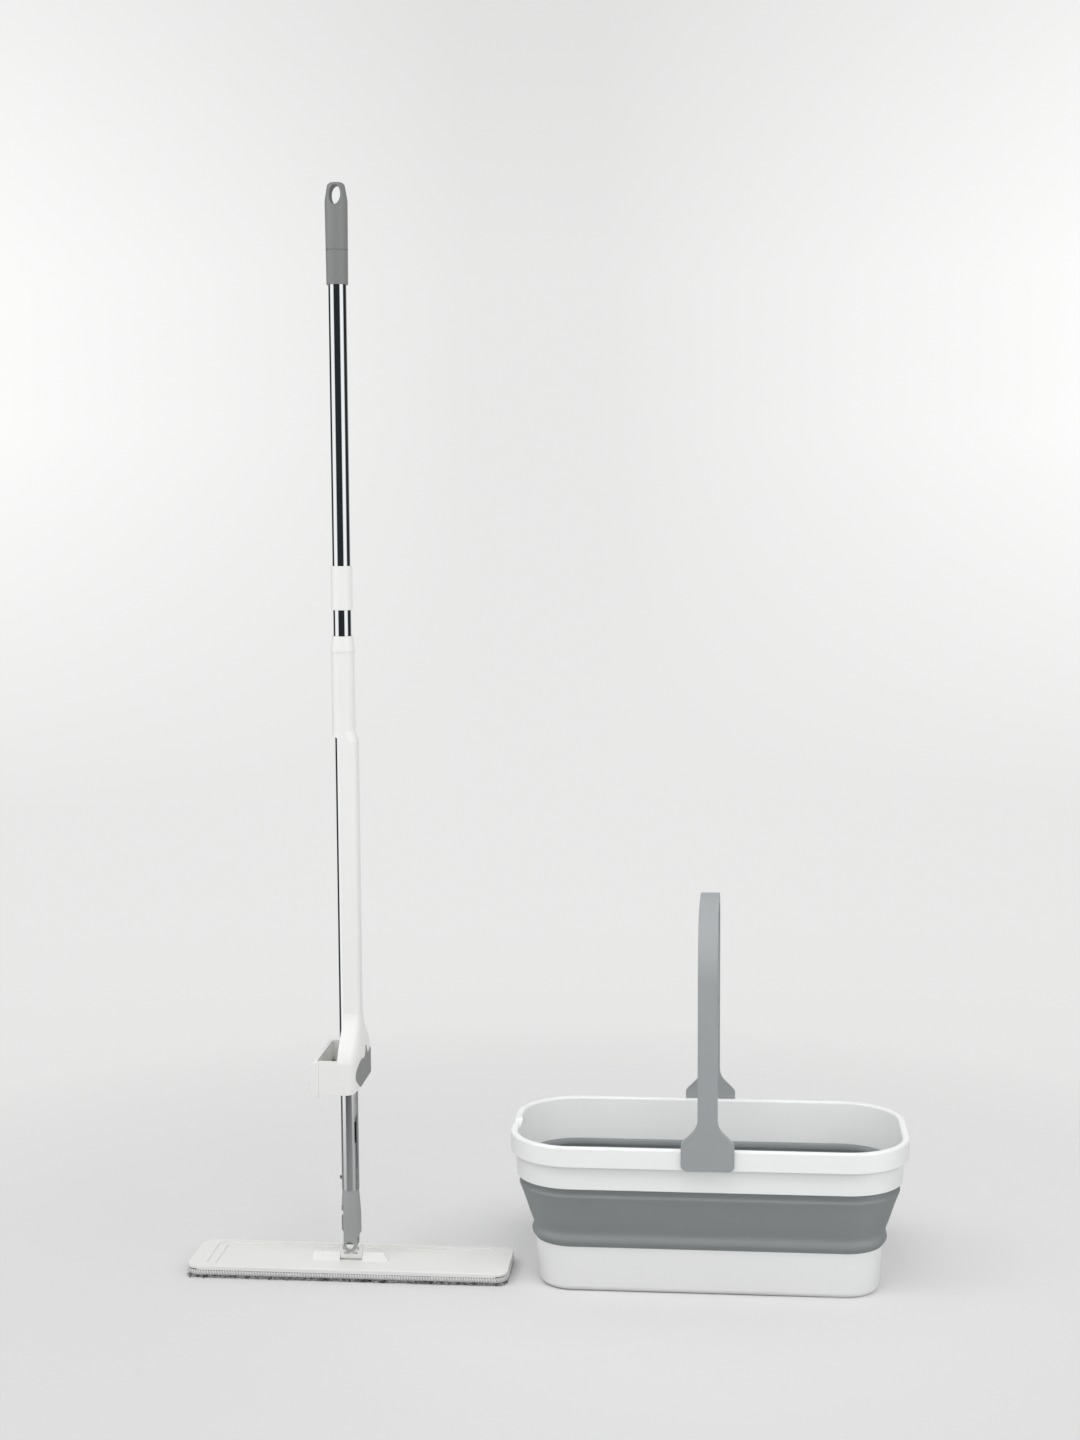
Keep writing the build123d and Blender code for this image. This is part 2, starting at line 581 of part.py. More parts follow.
def make_button():
    """Snap button that locks the yoke in the tube, with a flange behind the tube wall."""
    button_z = SWING_AXIS + BUTTON_RISE
    inside = POLE_RADIUS - POLE_WALL - RUNNING_FIT
    flange_inside = math.sqrt(inside**2 - BUTTON_FLANGE_RADIUS**2)
    tip = -POLE_RADIUS - BUTTON_PROUD
    stem = rod_along_x(BUTTON_RADIUS, tip, -flange_inside + 1, button_z)
    stem = chamfer(stem.edges().group_by(Axis.X)[0], BUTTON_RADIUS * 0.4)
    return stem + rod_along_x(BUTTON_FLANGE_RADIUS, -flange_inside, -flange_inside + 1.2, button_z)


def make_button_spring():
    """Leaf spring bent in a hairpin behind the button."""
    button_z = SWING_AXIS + BUTTON_RISE
    inside = POLE_RADIUS - POLE_WALL - RUNNING_FIT
    front = -math.sqrt(inside**2 - BUTTON_FLANGE_RADIUS**2) + 1.2 + SPRING_GAUGE / 2
    back = SPRING_SPREAD - BUTTON_TRAVEL - SPRING_GAUGE - SLIDE_GAP
    top = button_z + SPRING_HEIGHT
    bend = (back - front) / 2
    leg = Line((front, button_z - BUTTON_FLANGE_RADIUS), (front, top - bend))
    hairpin = RadiusArc((front, top - bend), (back, top - bend), bend)
    tail = Line((back, top - bend), (back, button_z + SPRING_GAUGE))
    path = Plane.XZ * Wire([leg, hairpin, tail])
    section = Pos(front, 0, button_z - BUTTON_FLANGE_RADIUS) * Rectangle(SPRING_GAUGE, SPRING_WIDTH)
    return sweep(section, path=path)


def make_lower_pole():
    """Lower chrome tube with a slit end and a hole for the snap button."""
    pole = tube(POLE_RADIUS, POLE_RADIUS - POLE_WALL, TUBE_BOTTOM, POLE_JOINT - PLUG_FLANGE / 2)
    half_slit = SLOT_WIDTH / 2
    slit = block(0, 2 * POLE_RADIUS, -half_slit, half_slit, TUBE_BOTTOM - 1, SWING_AXIS + SLOT_RISE)
    pole -= Rot(0, 0, SLOT_ANGLE) * slit
    return pole - rod_along_x(BUTTON_RADIUS + RUNNING_FIT, -2 * POLE_RADIUS, 0, SWING_AXIS + BUTTON_RISE)


def make_upper_pole():
    """Upper chrome tube from the pole joint into the end grip."""
    return tube(POLE_RADIUS, POLE_RADIUS - POLE_WALL, POLE_JOINT + PLUG_FLANGE / 2, POLE_TOP)


def make_joint_plug():
    """Plug that joins the two tubes, with a thin flange between their ends."""
    half = PLUG_LENGTH / 2
    plug = rod(POLE_RADIUS - POLE_WALL - PRESS_FIT, POLE_JOINT - half, POLE_JOINT + half)
    plug = chamfer(plug.edges(), POLE_WALL)
    return plug + rod(POLE_RADIUS, POLE_JOINT - PLUG_FLANGE / 2, POLE_JOINT + PLUG_FLANGE / 2)


def make_joint_collar():
    """White collar over the pole joint."""
    half = COLLAR_LENGTH / 2
    outer = POLE_RADIUS + COLLAR_WALL
    collar = rod(outer, POLE_JOINT - half, POLE_JOINT + half)
    collar = chamfer(collar.edges().filter_by(GeomType.CIRCLE), COLLAR_WALL / 3)
    return collar - rod(POLE_RADIUS + PRESS_FIT, POLE_JOINT - half - 1, POLE_JOINT + half + 1)


def make_end_grip():
    """End grip: swelling sleeve with a domed crown, a hang hole and a fine seam."""
    profile = Polygon(
        (0, GRIP_BOTTOM), (GRIP_MOUTH_RADIUS, GRIP_BOTTOM), (GRIP_RADIUS, GRIP_TOP - GRIP_SHOULDER_DROP),
        (GRIP_CROWN_RADIUS, GRIP_TOP), (0, GRIP_TOP),
        align=None,
    )
    shoulder = profile.vertices().sort_by(Axis.X)[-1]
    profile = fillet(shoulder, 2 * GRIP_SHOULDER_DROP)
    crown = profile.vertices().sort_by(Axis.Y)[-2:].sort_by(Axis.X)[-1]
    profile = fillet(crown, GRIP_CROWN_RADIUS * 0.6)
    grip = revolve(Plane.XZ * profile, Axis.Z)
    grip -= rod(POLE_RADIUS + PRESS_FIT, GRIP_BOTTOM - 1, POLE_TOP + PRESS_FIT)
    hole_z = GRIP_TOP - HANG_HOLE_MARGIN - HANG_HOLE_HEIGHT / 2
    hole = Ellipse(HANG_HOLE_WIDTH / 2, HANG_HOLE_HEIGHT / 2)
    grip -= Pos(0, 2 * GRIP_RADIUS, hole_z) * (Plane.XZ * extrude(hole, 4 * GRIP_RADIUS))
    seam_z = GRIP_BOTTOM + GRIP_SEAM_RISE
    return grip - tube(2 * GRIP_RADIUS, GRIP_RADIUS - 2 * GRIP_SEAM_SIZE, seam_z, seam_z + GRIP_SEAM_SIZE)


def rounded_section(x0, x1, half_y, corner, z):
    """Rounded rectangle between two X values, at a height."""
    return Pos((x0 + x1) / 2, 0, z) * RectangleRounded(x1 - x0, 2 * half_y, corner)


def nose_section(x0, x1, half_y, corner_x, corner_y, z):
    """Rectangle between two X values with elliptical corners at the nose only, at a height."""
    corner_x = min(corner_x, x1 - x0 - FRAME_WALL / 2)
    corner_y = min(corner_y, half_y - FRAME_WALL / 2)
    mid_x, mid_y = x1 - corner_x, half_y - corner_y
    outline = [
        EllipticalCenterArc((mid_x, -mid_y), corner_x, corner_y, 270),
        Line((x1, -mid_y), (x1, mid_y)),
        EllipticalCenterArc((mid_x, mid_y), corner_x, corner_y, 0),
        Polyline((mid_x, half_y), (x0, half_y), (x0, -half_y), (mid_x, -half_y)),
    ]
    return Pos(0, 0, z) * make_face(outline)


def sleeve_skin(grow):
    """Outer form of the sleeve's channel, flare and squeeze frame, grown outwards by a distance."""
    mouth, nose, half = -CHANNEL_MOUTH, CHANNEL_NOSE + grow, CHANNEL_HALF_WIDTH + grow
    flare_top, flare_foot = FRAME_TOP + FLARE_LENGTH, FRAME_TOP - FRAME_WALL
    bottom = FRAME_BOTTOM - grow
    upper = rounded_section(-SLEEVE_GRIP_RADIUS - grow, nose, half, CHANNEL_CORNER + grow, flare_top)
    skin = extrude(upper, CHANNEL_TOP - CHANNEL_MOUTH_RADIUS - flare_top)
    sections = []
    for step in range(FLARE_STEPS + 1):
        share = step / FLARE_STEPS
        ease = share * share * (3 - 2 * share)
        sections.append(nose_section(
            mouth, nose + ease * (FRAME_NOSE - CHANNEL_NOSE),
            half + ease * (FRAME_HALF - CHANNEL_HALF_WIDTH),
            CHANNEL_CORNER + grow + ease * (FRAME_CORNER_DEPTH - CHANNEL_CORNER),
            CHANNEL_CORNER + grow + ease * (FRAME_CORNER_WIDTH - CHANNEL_CORNER),
            flare_top + share * (flare_foot - flare_top),
        ))
    skin += loft(sections)
    skin += extrude(sections[-1], bottom - flare_foot)
    heel_x, heel_z = FRAME_NOSE - FRAME_HEEL_DEPTH, FRAME_BOTTOM + FRAME_HEEL_HEIGHT
    back, front = -2 * FRAME_REACH, FRAME_NOSE + grow
    side = make_face([
        EllipticalCenterArc((heel_x, heel_z), FRAME_HEEL_DEPTH + grow, FRAME_HEEL_HEIGHT + grow, 270),
        Polyline((front, heel_z), (front, SLEEVE_TOP), (back, SLEEVE_TOP), (back, bottom),
                 (heel_x, bottom)),
    ])
    return skin & Pos(0, 2 * FRAME_HALF, 0) * (Plane.XZ * extrude(side, 4 * FRAME_HALF))


def insert_outline():
    """Teardrop seen from the end, as a prism through the nose of the frame."""
    bottom, lobe = FRAME_BOTTOM + INSERT_BOTTOM_RISE, FRAME_BOTTOM + INSERT_LOBE_RISE
    waist, tip = FRAME_BOTTOM + INSERT_WAIST_RISE, FRAME_BOTTOM + INSERT_TIP_RISE
    sole = (bottom * 6 + lobe) / 7
    outline = []
    for side in (-1, 1):
        outline.append(Spline(
            (0, bottom), (side * INSERT_SOLE_HALF, sole), (side * INSERT_LOBE_HALF, lobe),
            (side * INSERT_WAIST_HALF, waist), (0, tip),
            tangents=((side, 0), (-side * 0.4, 1)),
        ))
    prism = extrude(Plane.YZ * make_face(outline), 4 * FRAME_NOSE)
    return Pos(CHANNEL_MOUTH, 0, 0) * prism


def insert_pad():
    """Layer of the nose inside the teardrop outline."""
    nose = sleeve_skin(INSERT_PROUD) & insert_outline()
    pad = nose - sleeve_skin(-INSERT_DEPTH)
    return pad.solids().sort_by(SortBy.VOLUME)[-1]


def make_grip_insert():
    """Soft teardrop pad let into the nose of the frame."""
    return insert_pad()


def make_sleeve():
    """Wringer sleeve: grip tube, open channel along the pole, flare and squeeze frame with its two arms."""
    grip_side = 2 * SLEEVE_GRIP_RADIUS
    sleeve = rod(SLEEVE_GRIP_RADIUS, CHANNEL_TOP, SLEEVE_TOP) + sleeve_skin(0)
    shoulder_z = CHANNEL_TOP - CHANNEL_MOUTH_RADIUS
    round_end = Pos(0, 0, shoulder_z + SHOULDER_LENGTH) * RectangleRounded(
        grip_side, grip_side, SLEEVE_GRIP_RADIUS - PRESS_FIT
    )
    square_end = rounded_section(
        -SLEEVE_GRIP_RADIUS, CHANNEL_NOSE, CHANNEL_HALF_WIDTH, CHANNEL_CORNER, shoulder_z
    )
    sleeve += loft([square_end, round_end])
    for side in (-1, 1):
        inner, outer = side * WINDOW_HALF, side * FRAME_HALF
        sleeve += block(
            -FRAME_REACH, -CHANNEL_MOUTH, min(inner, outer), max(inner, outer), FRAME_BOTTOM, FRAME_TOP
        )
    mouth = block(
        -4 * SLEEVE_GRIP_RADIUS, -CHANNEL_MOUTH, -WINDOW_HALF, WINDOW_HALF, FRAME_BOTTOM - 1, CHANNEL_TOP
    )
    mouth_edge = mouth.edges().filter_by(Axis.Y).group_by(Axis.Z)[-1].sort_by(Axis.X)[-1]
    mouth = fillet(mouth_edge, CHANNEL_MOUTH_RADIUS)
    sleeve -= mouth
    sleeve -= rod(BORE_RADIUS, FRAME_BOTTOM - 1, SLEEVE_TOP + 1)
    sleeve -= rod(bush_outer() + PRESS_FIT, SLEEVE_TOP - BUSH_LENGTH, SLEEVE_TOP + 1)
    nose_wall = FRAME_HEEL_DEPTH + FRAME_WALL
    pocket = extrude(nose_section(
        -CHANNEL_MOUTH + FRAME_WALL, FRAME_NOSE - nose_wall, FRAME_HALF - FRAME_ARM,
        FRAME_CORNER_DEPTH - nose_wall, FRAME_CORNER_WIDTH - FRAME_ARM, FRAME_BOTTOM - 1,
    ), FRAME_HEIGHT - 2 * FRAME_WALL)
    core = CHANNEL_HALF_WIDTH + FRAME_WALL
    sleeve -= pocket - block(-FRAME_REACH, FRAME_NOSE, -core, core, FRAME_BOTTOM - 1, FRAME_TOP)
    for side in (-1, 1):
        screw_y = side * (FRAME_HALF - FRAME_ARM / 2)
        hole_end = screw_tip() + PRESS_FIT
        hole = rod_along_x(SCREW_RADIUS + PRESS_FIT, -2 * FRAME_REACH, hole_end, screw_height())
        sleeve -= Pos(0, screw_y, 0) * hole
    return sleeve - insert_pad()


def bush_outer():
    """Outer radius of the guide bush."""
    return POLE_RADIUS + RUNNING_FIT + BUSH_WALL


def make_guide_bush():
    """Bush in the sleeve's top end that runs on the pole."""
    return tube(bush_outer(), POLE_RADIUS + RUNNING_FIT, SLEEVE_TOP - BUSH_LENGTH, SLEEVE_TOP)


def make_sleeve_ring():
    """Tapered end ring that closes the sleeve over the bush."""
    top = SLEEVE_TOP + SLEEVE_RING_HEIGHT
    profile = Polygon(
        (BORE_RADIUS, SLEEVE_TOP), (SLEEVE_RING_RADIUS, SLEEVE_TOP), (SLEEVE_RING_RADIUS, SLEEVE_TOP + 2),
        (SLEEVE_RING_TOP_RADIUS, top), (BORE_RADIUS, top), align=None,
    )
    return revolve(Plane.XZ * profile, Axis.Z)


def screw_height():
    """Height of the cap screws."""
    return FRAME_BOTTOM + FRAME_HEIGHT / 2


def screw_tip():
    """X of the tips of the cap screws."""
    return -FRAME_REACH - CAP_THICKNESS / 2 + SCREW_LENGTH


def make_cap():
    """Cap bar across the ends of the frame's arms, with the scraper groove and screw seats."""
    x_in, x_out = -FRAME_REACH, -FRAME_REACH - CAP_THICKNESS
    bottom, top = FRAME_BOTTOM - CAP_DROP, FRAME_TOP
    profile = Polygon(
        (x_in, bottom), (x_in, top), (x_out + CAP_EDGE, top), (x_out, top - 2 * CAP_EDGE),
        (x_out, bottom + 3 * CAP_EDGE), (x_out + CAP_EDGE, bottom), align=None,
    )
    profile = fillet(profile.vertices().filter_by(lambda v: v.X < x_in - 1), CAP_EDGE)
    cap = Pos(0, FRAME_HALF, 0) * (Plane.XZ * extrude(profile, 2 * FRAME_HALF))
    ends = cap.faces().filter_by(Axis.Y).edges().filter_by(lambda e: e.center().X < x_in - 1)
    cap = fillet(ends, CAP_EDGE / 3)
    cap = chamfer(cap.faces().sort_by(Axis.X)[-1].edges(), CAP_SEAM)
    cap -= block(x_in - CAP_POCKET, x_in + 1, -WINDOW_HALF, WINDOW_HALF, bottom - 1, top + 1)
    cap -= blade_shape(PRESS_FIT)
    for side in (-1, 1):
        screw_y = side * (FRAME_HALF - FRAME_ARM / 2)
        seat = -FRAME_REACH - CAP_THICKNESS / 2
        hole = rod_along_x(SCREW_RADIUS + PRESS_FIT, x_out - 1, x_in + 1, screw_height())
        recess = rod_along_x(SCREW_HEAD_RADIUS + PRESS_FIT, x_out - 1, seat, screw_height())
        cap -= Pos(0, screw_y, 0) * (hole + recess)
    return cap


def make_cap_screws():
    """Two screws through the cap into the frame's arms."""
    screws = []
    seat = -FRAME_REACH - CAP_THICKNESS / 2
    for side in (-1, 1):
        screw_y = side * (FRAME_HALF - FRAME_ARM / 2)
        screw = rod_along_x(SCREW_RADIUS, seat - SCREW_HEAD_HEIGHT / 2, screw_tip(), screw_height())
        screw += rod_along_x(SCREW_HEAD_RADIUS, seat - SCREW_HEAD_HEIGHT, seat, screw_height())
        screws.append(Pos(0, screw_y, 0) * screw)
    return Compound(children=screws)


def blade_shape(grow):
    """Scraper strip with its root in the cap's groove."""
    root = -FRAME_REACH - CAP_POCKET - BLADE_GROOVE - grow
    mid = FRAME_BOTTOM + BLADE_RISE
    half = BLADE_THICKNESS / 2 + grow
    length = WINDOW_HALF - PRESS_FIT + grow
    tip = root + BLADE_GROOVE + BLADE_REACH + 2 * grow
    return block(root, tip, -length, length, mid - half, mid + half)


def make_blade():
    """Rubber scraper blade that squeezes the pad."""
    blade = blade_shape(0)
    return fillet(blade.edges().filter_by(Axis.Y).group_by(Axis.X)[-1], BLADE_THICKNESS * 0.45)


PARTS = {
    "bucket_base": (make_base, BUCKET_PLACE),
    "silicone_band": (make_band, BUCKET_PLACE),
    "bucket_rim": (make_rim, BUCKET_PLACE),
    "bail_handle": (make_bail, BUCKET_PLACE),
    "mop_plate": (make_plate, MOP_PLACE),
    "roll_pin": (make_roll_pin, MOP_PLACE),
    "hook_strips": (make_hook_strips, MOP_PLACE),
    "pad_backing": (make_backing, MOP_PLACE),
    "pad_pile": (make_pile, MOP_PLACE),
    "hinge_block": (make_hinge_block, MOP_PLACE),
    "swing_pin": (make_swing_pin, MOP_PLACE),
    "head_yoke": (make_yoke, MOP_PLACE),
    "snap_button": (make_button, MOP_PLACE),
    "button_spring": (make_button_spring, MOP_PLACE),
    "lower_pole": (make_lower_pole, MOP_PLACE),
    "joint_plug": (make_joint_plug, MOP_PLACE),
    "joint_collar": (make_joint_collar, MOP_PLACE),
    "upper_pole": (make_upper_pole, MOP_PLACE),
    "end_grip": (make_end_grip, MOP_PLACE),
    "wringer_sleeve": (make_sleeve, MOP_PLACE),
    "sleeve_ring": (make_sleeve_ring, MOP_PLACE),
    "guide_bush": (make_guide_bush, MOP_PLACE),
    "grip_insert": (make_grip_insert, MOP_PLACE),
    "wringer_cap": (make_cap, MOP_PLACE),
    "cap_screws": (make_cap_screws, MOP_PLACE),
    "scraper_blade": (make_blade, MOP_PLACE),
}

os.makedirs("parts", exist_ok=True)
for node, (make, place) in PARTS.items():
    shape = place * make()
    export_step(shape, f"parts/{node}.step")
    print(node, round(shape.volume), "mm3")
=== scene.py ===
# %% [markdown]
# A flat mop with a squeeze sleeve stands beside a long folding bucket. The rigid pieces arrive from the
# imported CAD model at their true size. This lesson spends its time on what CAD leaves plain: the silicone
# wall, the knitted pad with its pile, and the finish of every surface.

# %% Load the frame
import math
import random

import bpy
from mathutils import Matrix, Vector


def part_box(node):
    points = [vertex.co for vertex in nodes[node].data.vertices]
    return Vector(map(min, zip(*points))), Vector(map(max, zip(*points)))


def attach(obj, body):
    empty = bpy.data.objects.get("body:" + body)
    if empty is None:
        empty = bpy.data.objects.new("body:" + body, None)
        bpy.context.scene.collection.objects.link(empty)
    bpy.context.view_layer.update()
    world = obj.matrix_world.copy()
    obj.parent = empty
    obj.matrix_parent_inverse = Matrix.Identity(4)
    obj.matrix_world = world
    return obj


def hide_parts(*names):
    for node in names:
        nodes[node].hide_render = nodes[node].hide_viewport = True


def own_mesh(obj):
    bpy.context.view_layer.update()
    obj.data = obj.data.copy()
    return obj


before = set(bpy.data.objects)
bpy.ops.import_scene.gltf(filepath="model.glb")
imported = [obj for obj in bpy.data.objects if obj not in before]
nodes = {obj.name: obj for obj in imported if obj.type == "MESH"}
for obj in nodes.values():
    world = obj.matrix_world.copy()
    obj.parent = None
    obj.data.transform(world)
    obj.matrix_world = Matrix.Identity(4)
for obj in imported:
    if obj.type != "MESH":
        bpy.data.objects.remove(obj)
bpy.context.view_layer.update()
MM = 0.001

# %% [markdown]
# The camera repeats the viewpoint of the photograph: about three quarters up the pole, looking down by six
# degrees and turned slightly towards the mop. A tracking constraint could aim it, but three plain angles
# can be tuned one at a time until the edges line up. The sensor is 36 mm along the picture's long side.

# %% Camera
VIEW_TURN, VIEW_TILT, VIEW_ROLL = math.radians(5.46), math.radians(90 - 5.93), math.radians(-0.31)
CAMERA_PLACE = (0.2208, -2.3704, 0.8807)
SENSOR = 36
FOCAL_PIXELS, PICTURE_HEIGHT = 2135.4, 1440
camera_data = bpy.data.cameras.new("camera")
camera_data.sensor_width = SENSOR
camera_data.lens = SENSOR * FOCAL_PIXELS / PICTURE_HEIGHT
camera = bpy.data.objects.new("camera", camera_data)
bpy.context.scene.collection.objects.link(camera)
turn = Matrix.Rotation(VIEW_TURN, 4, "Z") @ Matrix.Rotation(VIEW_TILT, 4, "X")
turn = turn @ Matrix.Rotation(VIEW_ROLL, 4, "Z")
camera.matrix_world = Matrix.Translation(CAMERA_PLACE) @ turn
bpy.context.scene.camera = camera
bpy.context.scene.view_settings.view_transform = "Standard"
print("lens", round(camera_data.lens, 2))

# %% [markdown]
# Moulded plastic is never quite even: the mould's fine spark finish scatters light, and thick and thin
# places cool with slightly different gloss. Each material could hold its own noise nodes, but they would
# be the same nodes every time. One node group gives both effects, a grain height and a slow cloud, and
# each material decides how strongly to use them.


# %% Moulded grain node group
def new_group(name, inputs, outputs):
    """Empty shader node group with named sockets; returns the group and its input and output nodes."""
    group = bpy.data.node_groups.new(name, "ShaderNodeTree")
    for label, kind, value in inputs:
        socket = group.interface.new_socket(name=label, in_out="INPUT", socket_type=kind)
        socket.default_value = value
    for label, kind in outputs:
        group.interface.new_socket(name=label, in_out="OUTPUT", socket_type=kind)
    return group, group.nodes.new("NodeGroupInput"), group.nodes.new("NodeGroupOutput")


def feed(tree, socket, value):
    """Links another socket into a socket, or sets it to a plain value."""
    if isinstance(value, bpy.types.NodeSocket):
        tree.links.new(value, socket)
    else:
        socket.default_value = value


def noise(tree, vector, scale, detail):
    """Noise texture on a vector; returns its value."""
    node = tree.nodes.new("ShaderNodeTexNoise")
    node.inputs["Detail"].default_value = detail
    feed(tree, node.inputs["Vector"], vector)
    feed(tree, node.inputs["Scale"], scale)
    return node.outputs["Fac"]


SPARK_SCALE, CLOUD_SCALE = 1400.0, 9.0
grain, grain_in, grain_out = new_group(
    "moulded_grain",
    [("Vector", "NodeSocketVector", (0, 0, 0)), ("Grain Scale", "NodeSocketFloat", SPARK_SCALE)],
    [("Grain", "NodeSocketFloat"), ("Cloud", "NodeSocketFloat")],
)
fine = noise(grain, grain_in.outputs["Vector"], grain_in.outputs["Grain Scale"], 3.0)
slow = noise(grain, grain_in.outputs["Vector"], CLOUD_SCALE, 4.0)
grain.links.new(fine, grain_out.inputs["Grain"])
grain.links.new(slow, grain_out.inputs["Cloud"])
print("node group", grain.name)

# %% [markdown]
# Every finish starts in the same way, from a shader and the object's own coordinates, so a pattern stays
# fixed to its piece when a joint moves. A Mix node holds a set of sockets for each kind of data under the
# same names, so the sockets for colours are picked by number.

# %% Helpers for materials
COLOUR_A, COLOUR_B, COLOUR_MIXED = 6, 7, 2


def start_material(name):
    """New node material; returns it with its tree, its shader and its object coordinates."""
    material = bpy.data.materials.new(name)
    material.use_nodes = True
    tree = material.node_tree
    coordinates = tree.nodes.new("ShaderNodeTexCoord")
    return material, tree, tree.nodes["Principled BSDF"], coordinates.outputs["Object"]


def mix_colour(tree, factor, first, second):
    """Mix node for colours; each argument is a socket or a value."""
    node = tree.nodes.new("ShaderNodeMix")
    node.data_type = "RGBA"
    feed(tree, node.inputs["Factor"], factor)
    feed(tree, node.inputs[COLOUR_A], first)
    feed(tree, node.inputs[COLOUR_B], second)
    return node.outputs[COLOUR_MIXED]


def ramp(tree, source, low, high, to_low=0.0, to_high=1.0):
    """Map Range node from a source socket."""
    node = tree.nodes.new("ShaderNodeMapRange")
    tree.links.new(source, node.inputs["Value"])
    for label, value in (("From Min", low), ("From Max", high), ("To Min", to_low), ("To Max", to_high)):
        node.inputs[label].default_value = value
    return node.outputs["Result"]


def add_bump(tree, shader, height, strength, distance):
    """Bump node from a height socket into the shader's normal."""
    bump = tree.nodes.new("ShaderNodeBump")
    bump.inputs["Strength"].default_value = strength
    bump.inputs["Distance"].default_value = distance
    tree.links.new(height, bump.inputs["Height"])
    tree.links.new(bump.outputs["Normal"], shader.inputs["Normal"])


# %% [markdown]
# The bucket, the mop's white housings, the grey grips and the silicone are all moulded. One colour and one
# gloss would look like paint, so the recipe mixes two near colours by the cloud, moves the roughness a
# little with it, and takes a very low bump from the grain. All these pieces share it with their own
# values.

# %% Moulded plastics and rubbers
GLOSS_SWING = 0.05
GRAIN_STRENGTH = 0.35


def moulded(name, light, dark, rough, grain_scale=SPARK_SCALE, grain_height=0.00006):
    """Moulded plastic or rubber: cloudy colour and gloss with a fine grain."""
    material, tree, shader, place = start_material(name)
    group = tree.nodes.new("ShaderNodeGroup")
    group.node_tree = grain
    group.inputs["Grain Scale"].default_value = grain_scale
    tree.links.new(place, group.inputs["Vector"])
    cloud = group.outputs["Cloud"]
    gloss = ramp(tree, cloud, 0.3, 0.7, rough + GLOSS_SWING, rough - GLOSS_SWING)
    tree.links.new(mix_colour(tree, cloud, (*dark, 1), (*light, 1)), shader.inputs["Base Color"])
    tree.links.new(gloss, shader.inputs["Roughness"])
    add_bump(tree, shader, group.outputs["Grain"], GRAIN_STRENGTH, grain_height)
    return material


white_gloss = moulded("white_bucket_plastic", (0.86, 0.865, 0.86), (0.82, 0.825, 0.82), 0.34)
white_satin = moulded("white_mop_plastic", (0.83, 0.83, 0.81), (0.79, 0.79, 0.77), 0.42)
grey_satin = moulded("grey_bail_plastic", (0.325, 0.34, 0.346), (0.295, 0.31, 0.316), 0.44)
grey_grip = moulded("grey_grip_plastic", (0.22, 0.225, 0.225), (0.195, 0.20, 0.20), 0.55, 900.0, 0.00012)
grey_yoke = moulded("grey_yoke_plastic", (0.345, 0.355, 0.355), (0.31, 0.32, 0.32), 0.46)
soft_grey = moulded("soft_insert_rubber", (0.27, 0.275, 0.272), (0.24, 0.245, 0.243), 0.62, 1100.0, 0.0001)
silicone = moulded("band_silicone", (0.255, 0.272, 0.276), (0.23, 0.246, 0.25), 0.50, 800.0, 0.00005)
blade_rubber = moulded("blade_rubber", (0.20, 0.205, 0.205), (0.16, 0.165, 0.165), 0.5)
print(len(bpy.data.materials), "materials so far")

# %% [markdown]
# The pole is a drawn tube with bright plating: mirror-like, with hairline marks that run along its length.
# A perfect mirror would look computed. Noise that is stretched along Z gives the hairlines in roughness
# and bump, and a second noise gives faint smudges.

# %% Metals
SMUDGE_SCALE = 35.0
SMUDGE_SHADE = 0.94


def metal(name, colour, rough, line_scale, stretch, bump_height):
    """Plated or drawn metal with fine lines along Z."""
    material, tree, shader, place = start_material(name)
    mapping = tree.nodes.new("ShaderNodeMapping")
    mapping.inputs["Scale"].default_value = (1, 1, stretch)
    tree.links.new(place, mapping.inputs["Vector"])
    lines = noise(tree, mapping.outputs["Vector"], line_scale, 4.0)
    smudge = noise(tree, place, SMUDGE_SCALE, 3.0)
    tone = mix_colour(tree, smudge, (*[c * SMUDGE_SHADE for c in colour], 1), (*colour, 1))
    tree.links.new(tone, shader.inputs["Base Color"])
    tree.links.new(ramp(tree, lines, 0.3, 0.7, rough * 0.7, rough * 1.4), shader.inputs["Roughness"])
    shader.inputs["Metallic"].default_value = 1
    add_bump(tree, shader, lines, 0.15, bump_height)
    return material


chrome = metal(
    "chrome_tube", (0.56, 0.565, 0.57), rough=0.06, line_scale=1600.0, stretch=0.004, bump_height=0.00001
)
steel = metal(
    "plain_steel", (0.62, 0.62, 0.63), rough=0.24, line_scale=900.0, stretch=0.05, bump_height=0.00002
)
print("metals", chrome.name, steel.name)

# %% [markdown]
# Most pieces are hard mouldings and tubes whose CAD shape is already right. They could be copied and
# remodelled, but that would only risk a misfit. Their meshes stay untouched, and a table gives each one
# its finish.


# %% Dress the CAD nodes
def dress(piece, material):
    """Gives a piece one material all over."""
    piece.data.materials.clear()
    piece.data.materials.append(material)


FINISH = {
    white_gloss: ["bucket_base", "bucket_rim"],
    white_satin: ["mop_plate", "hinge_block", "swing_pin", "joint_plug", "joint_collar", "wringer_sleeve",
                  "sleeve_ring", "guide_bush", "wringer_cap"],
    grey_satin: ["bail_handle"],
    grey_grip: ["end_grip"],
    grey_yoke: ["head_yoke"],
    soft_grey: ["grip_insert"],
    blade_rubber: ["scraper_blade"],
    chrome: ["lower_pole", "upper_pole"],
    steel: ["roll_pin", "snap_button", "button_spring", "cap_screws"],
}
for material, names in FINISH.items():
    for name in names:
        dress(nodes[name], material)
print("dressed", sum(len(names) for names in FINISH.values()), "nodes")

# %% [markdown]
# The new pieces are modelled with operators, as by hand. Every operator acts on what is selected, and the
# imported nodes start selected, so the first helper clears the selection. The last one names a finished
# piece and puts its place into its mesh, because finished pieces sit at the origin like the CAD nodes.


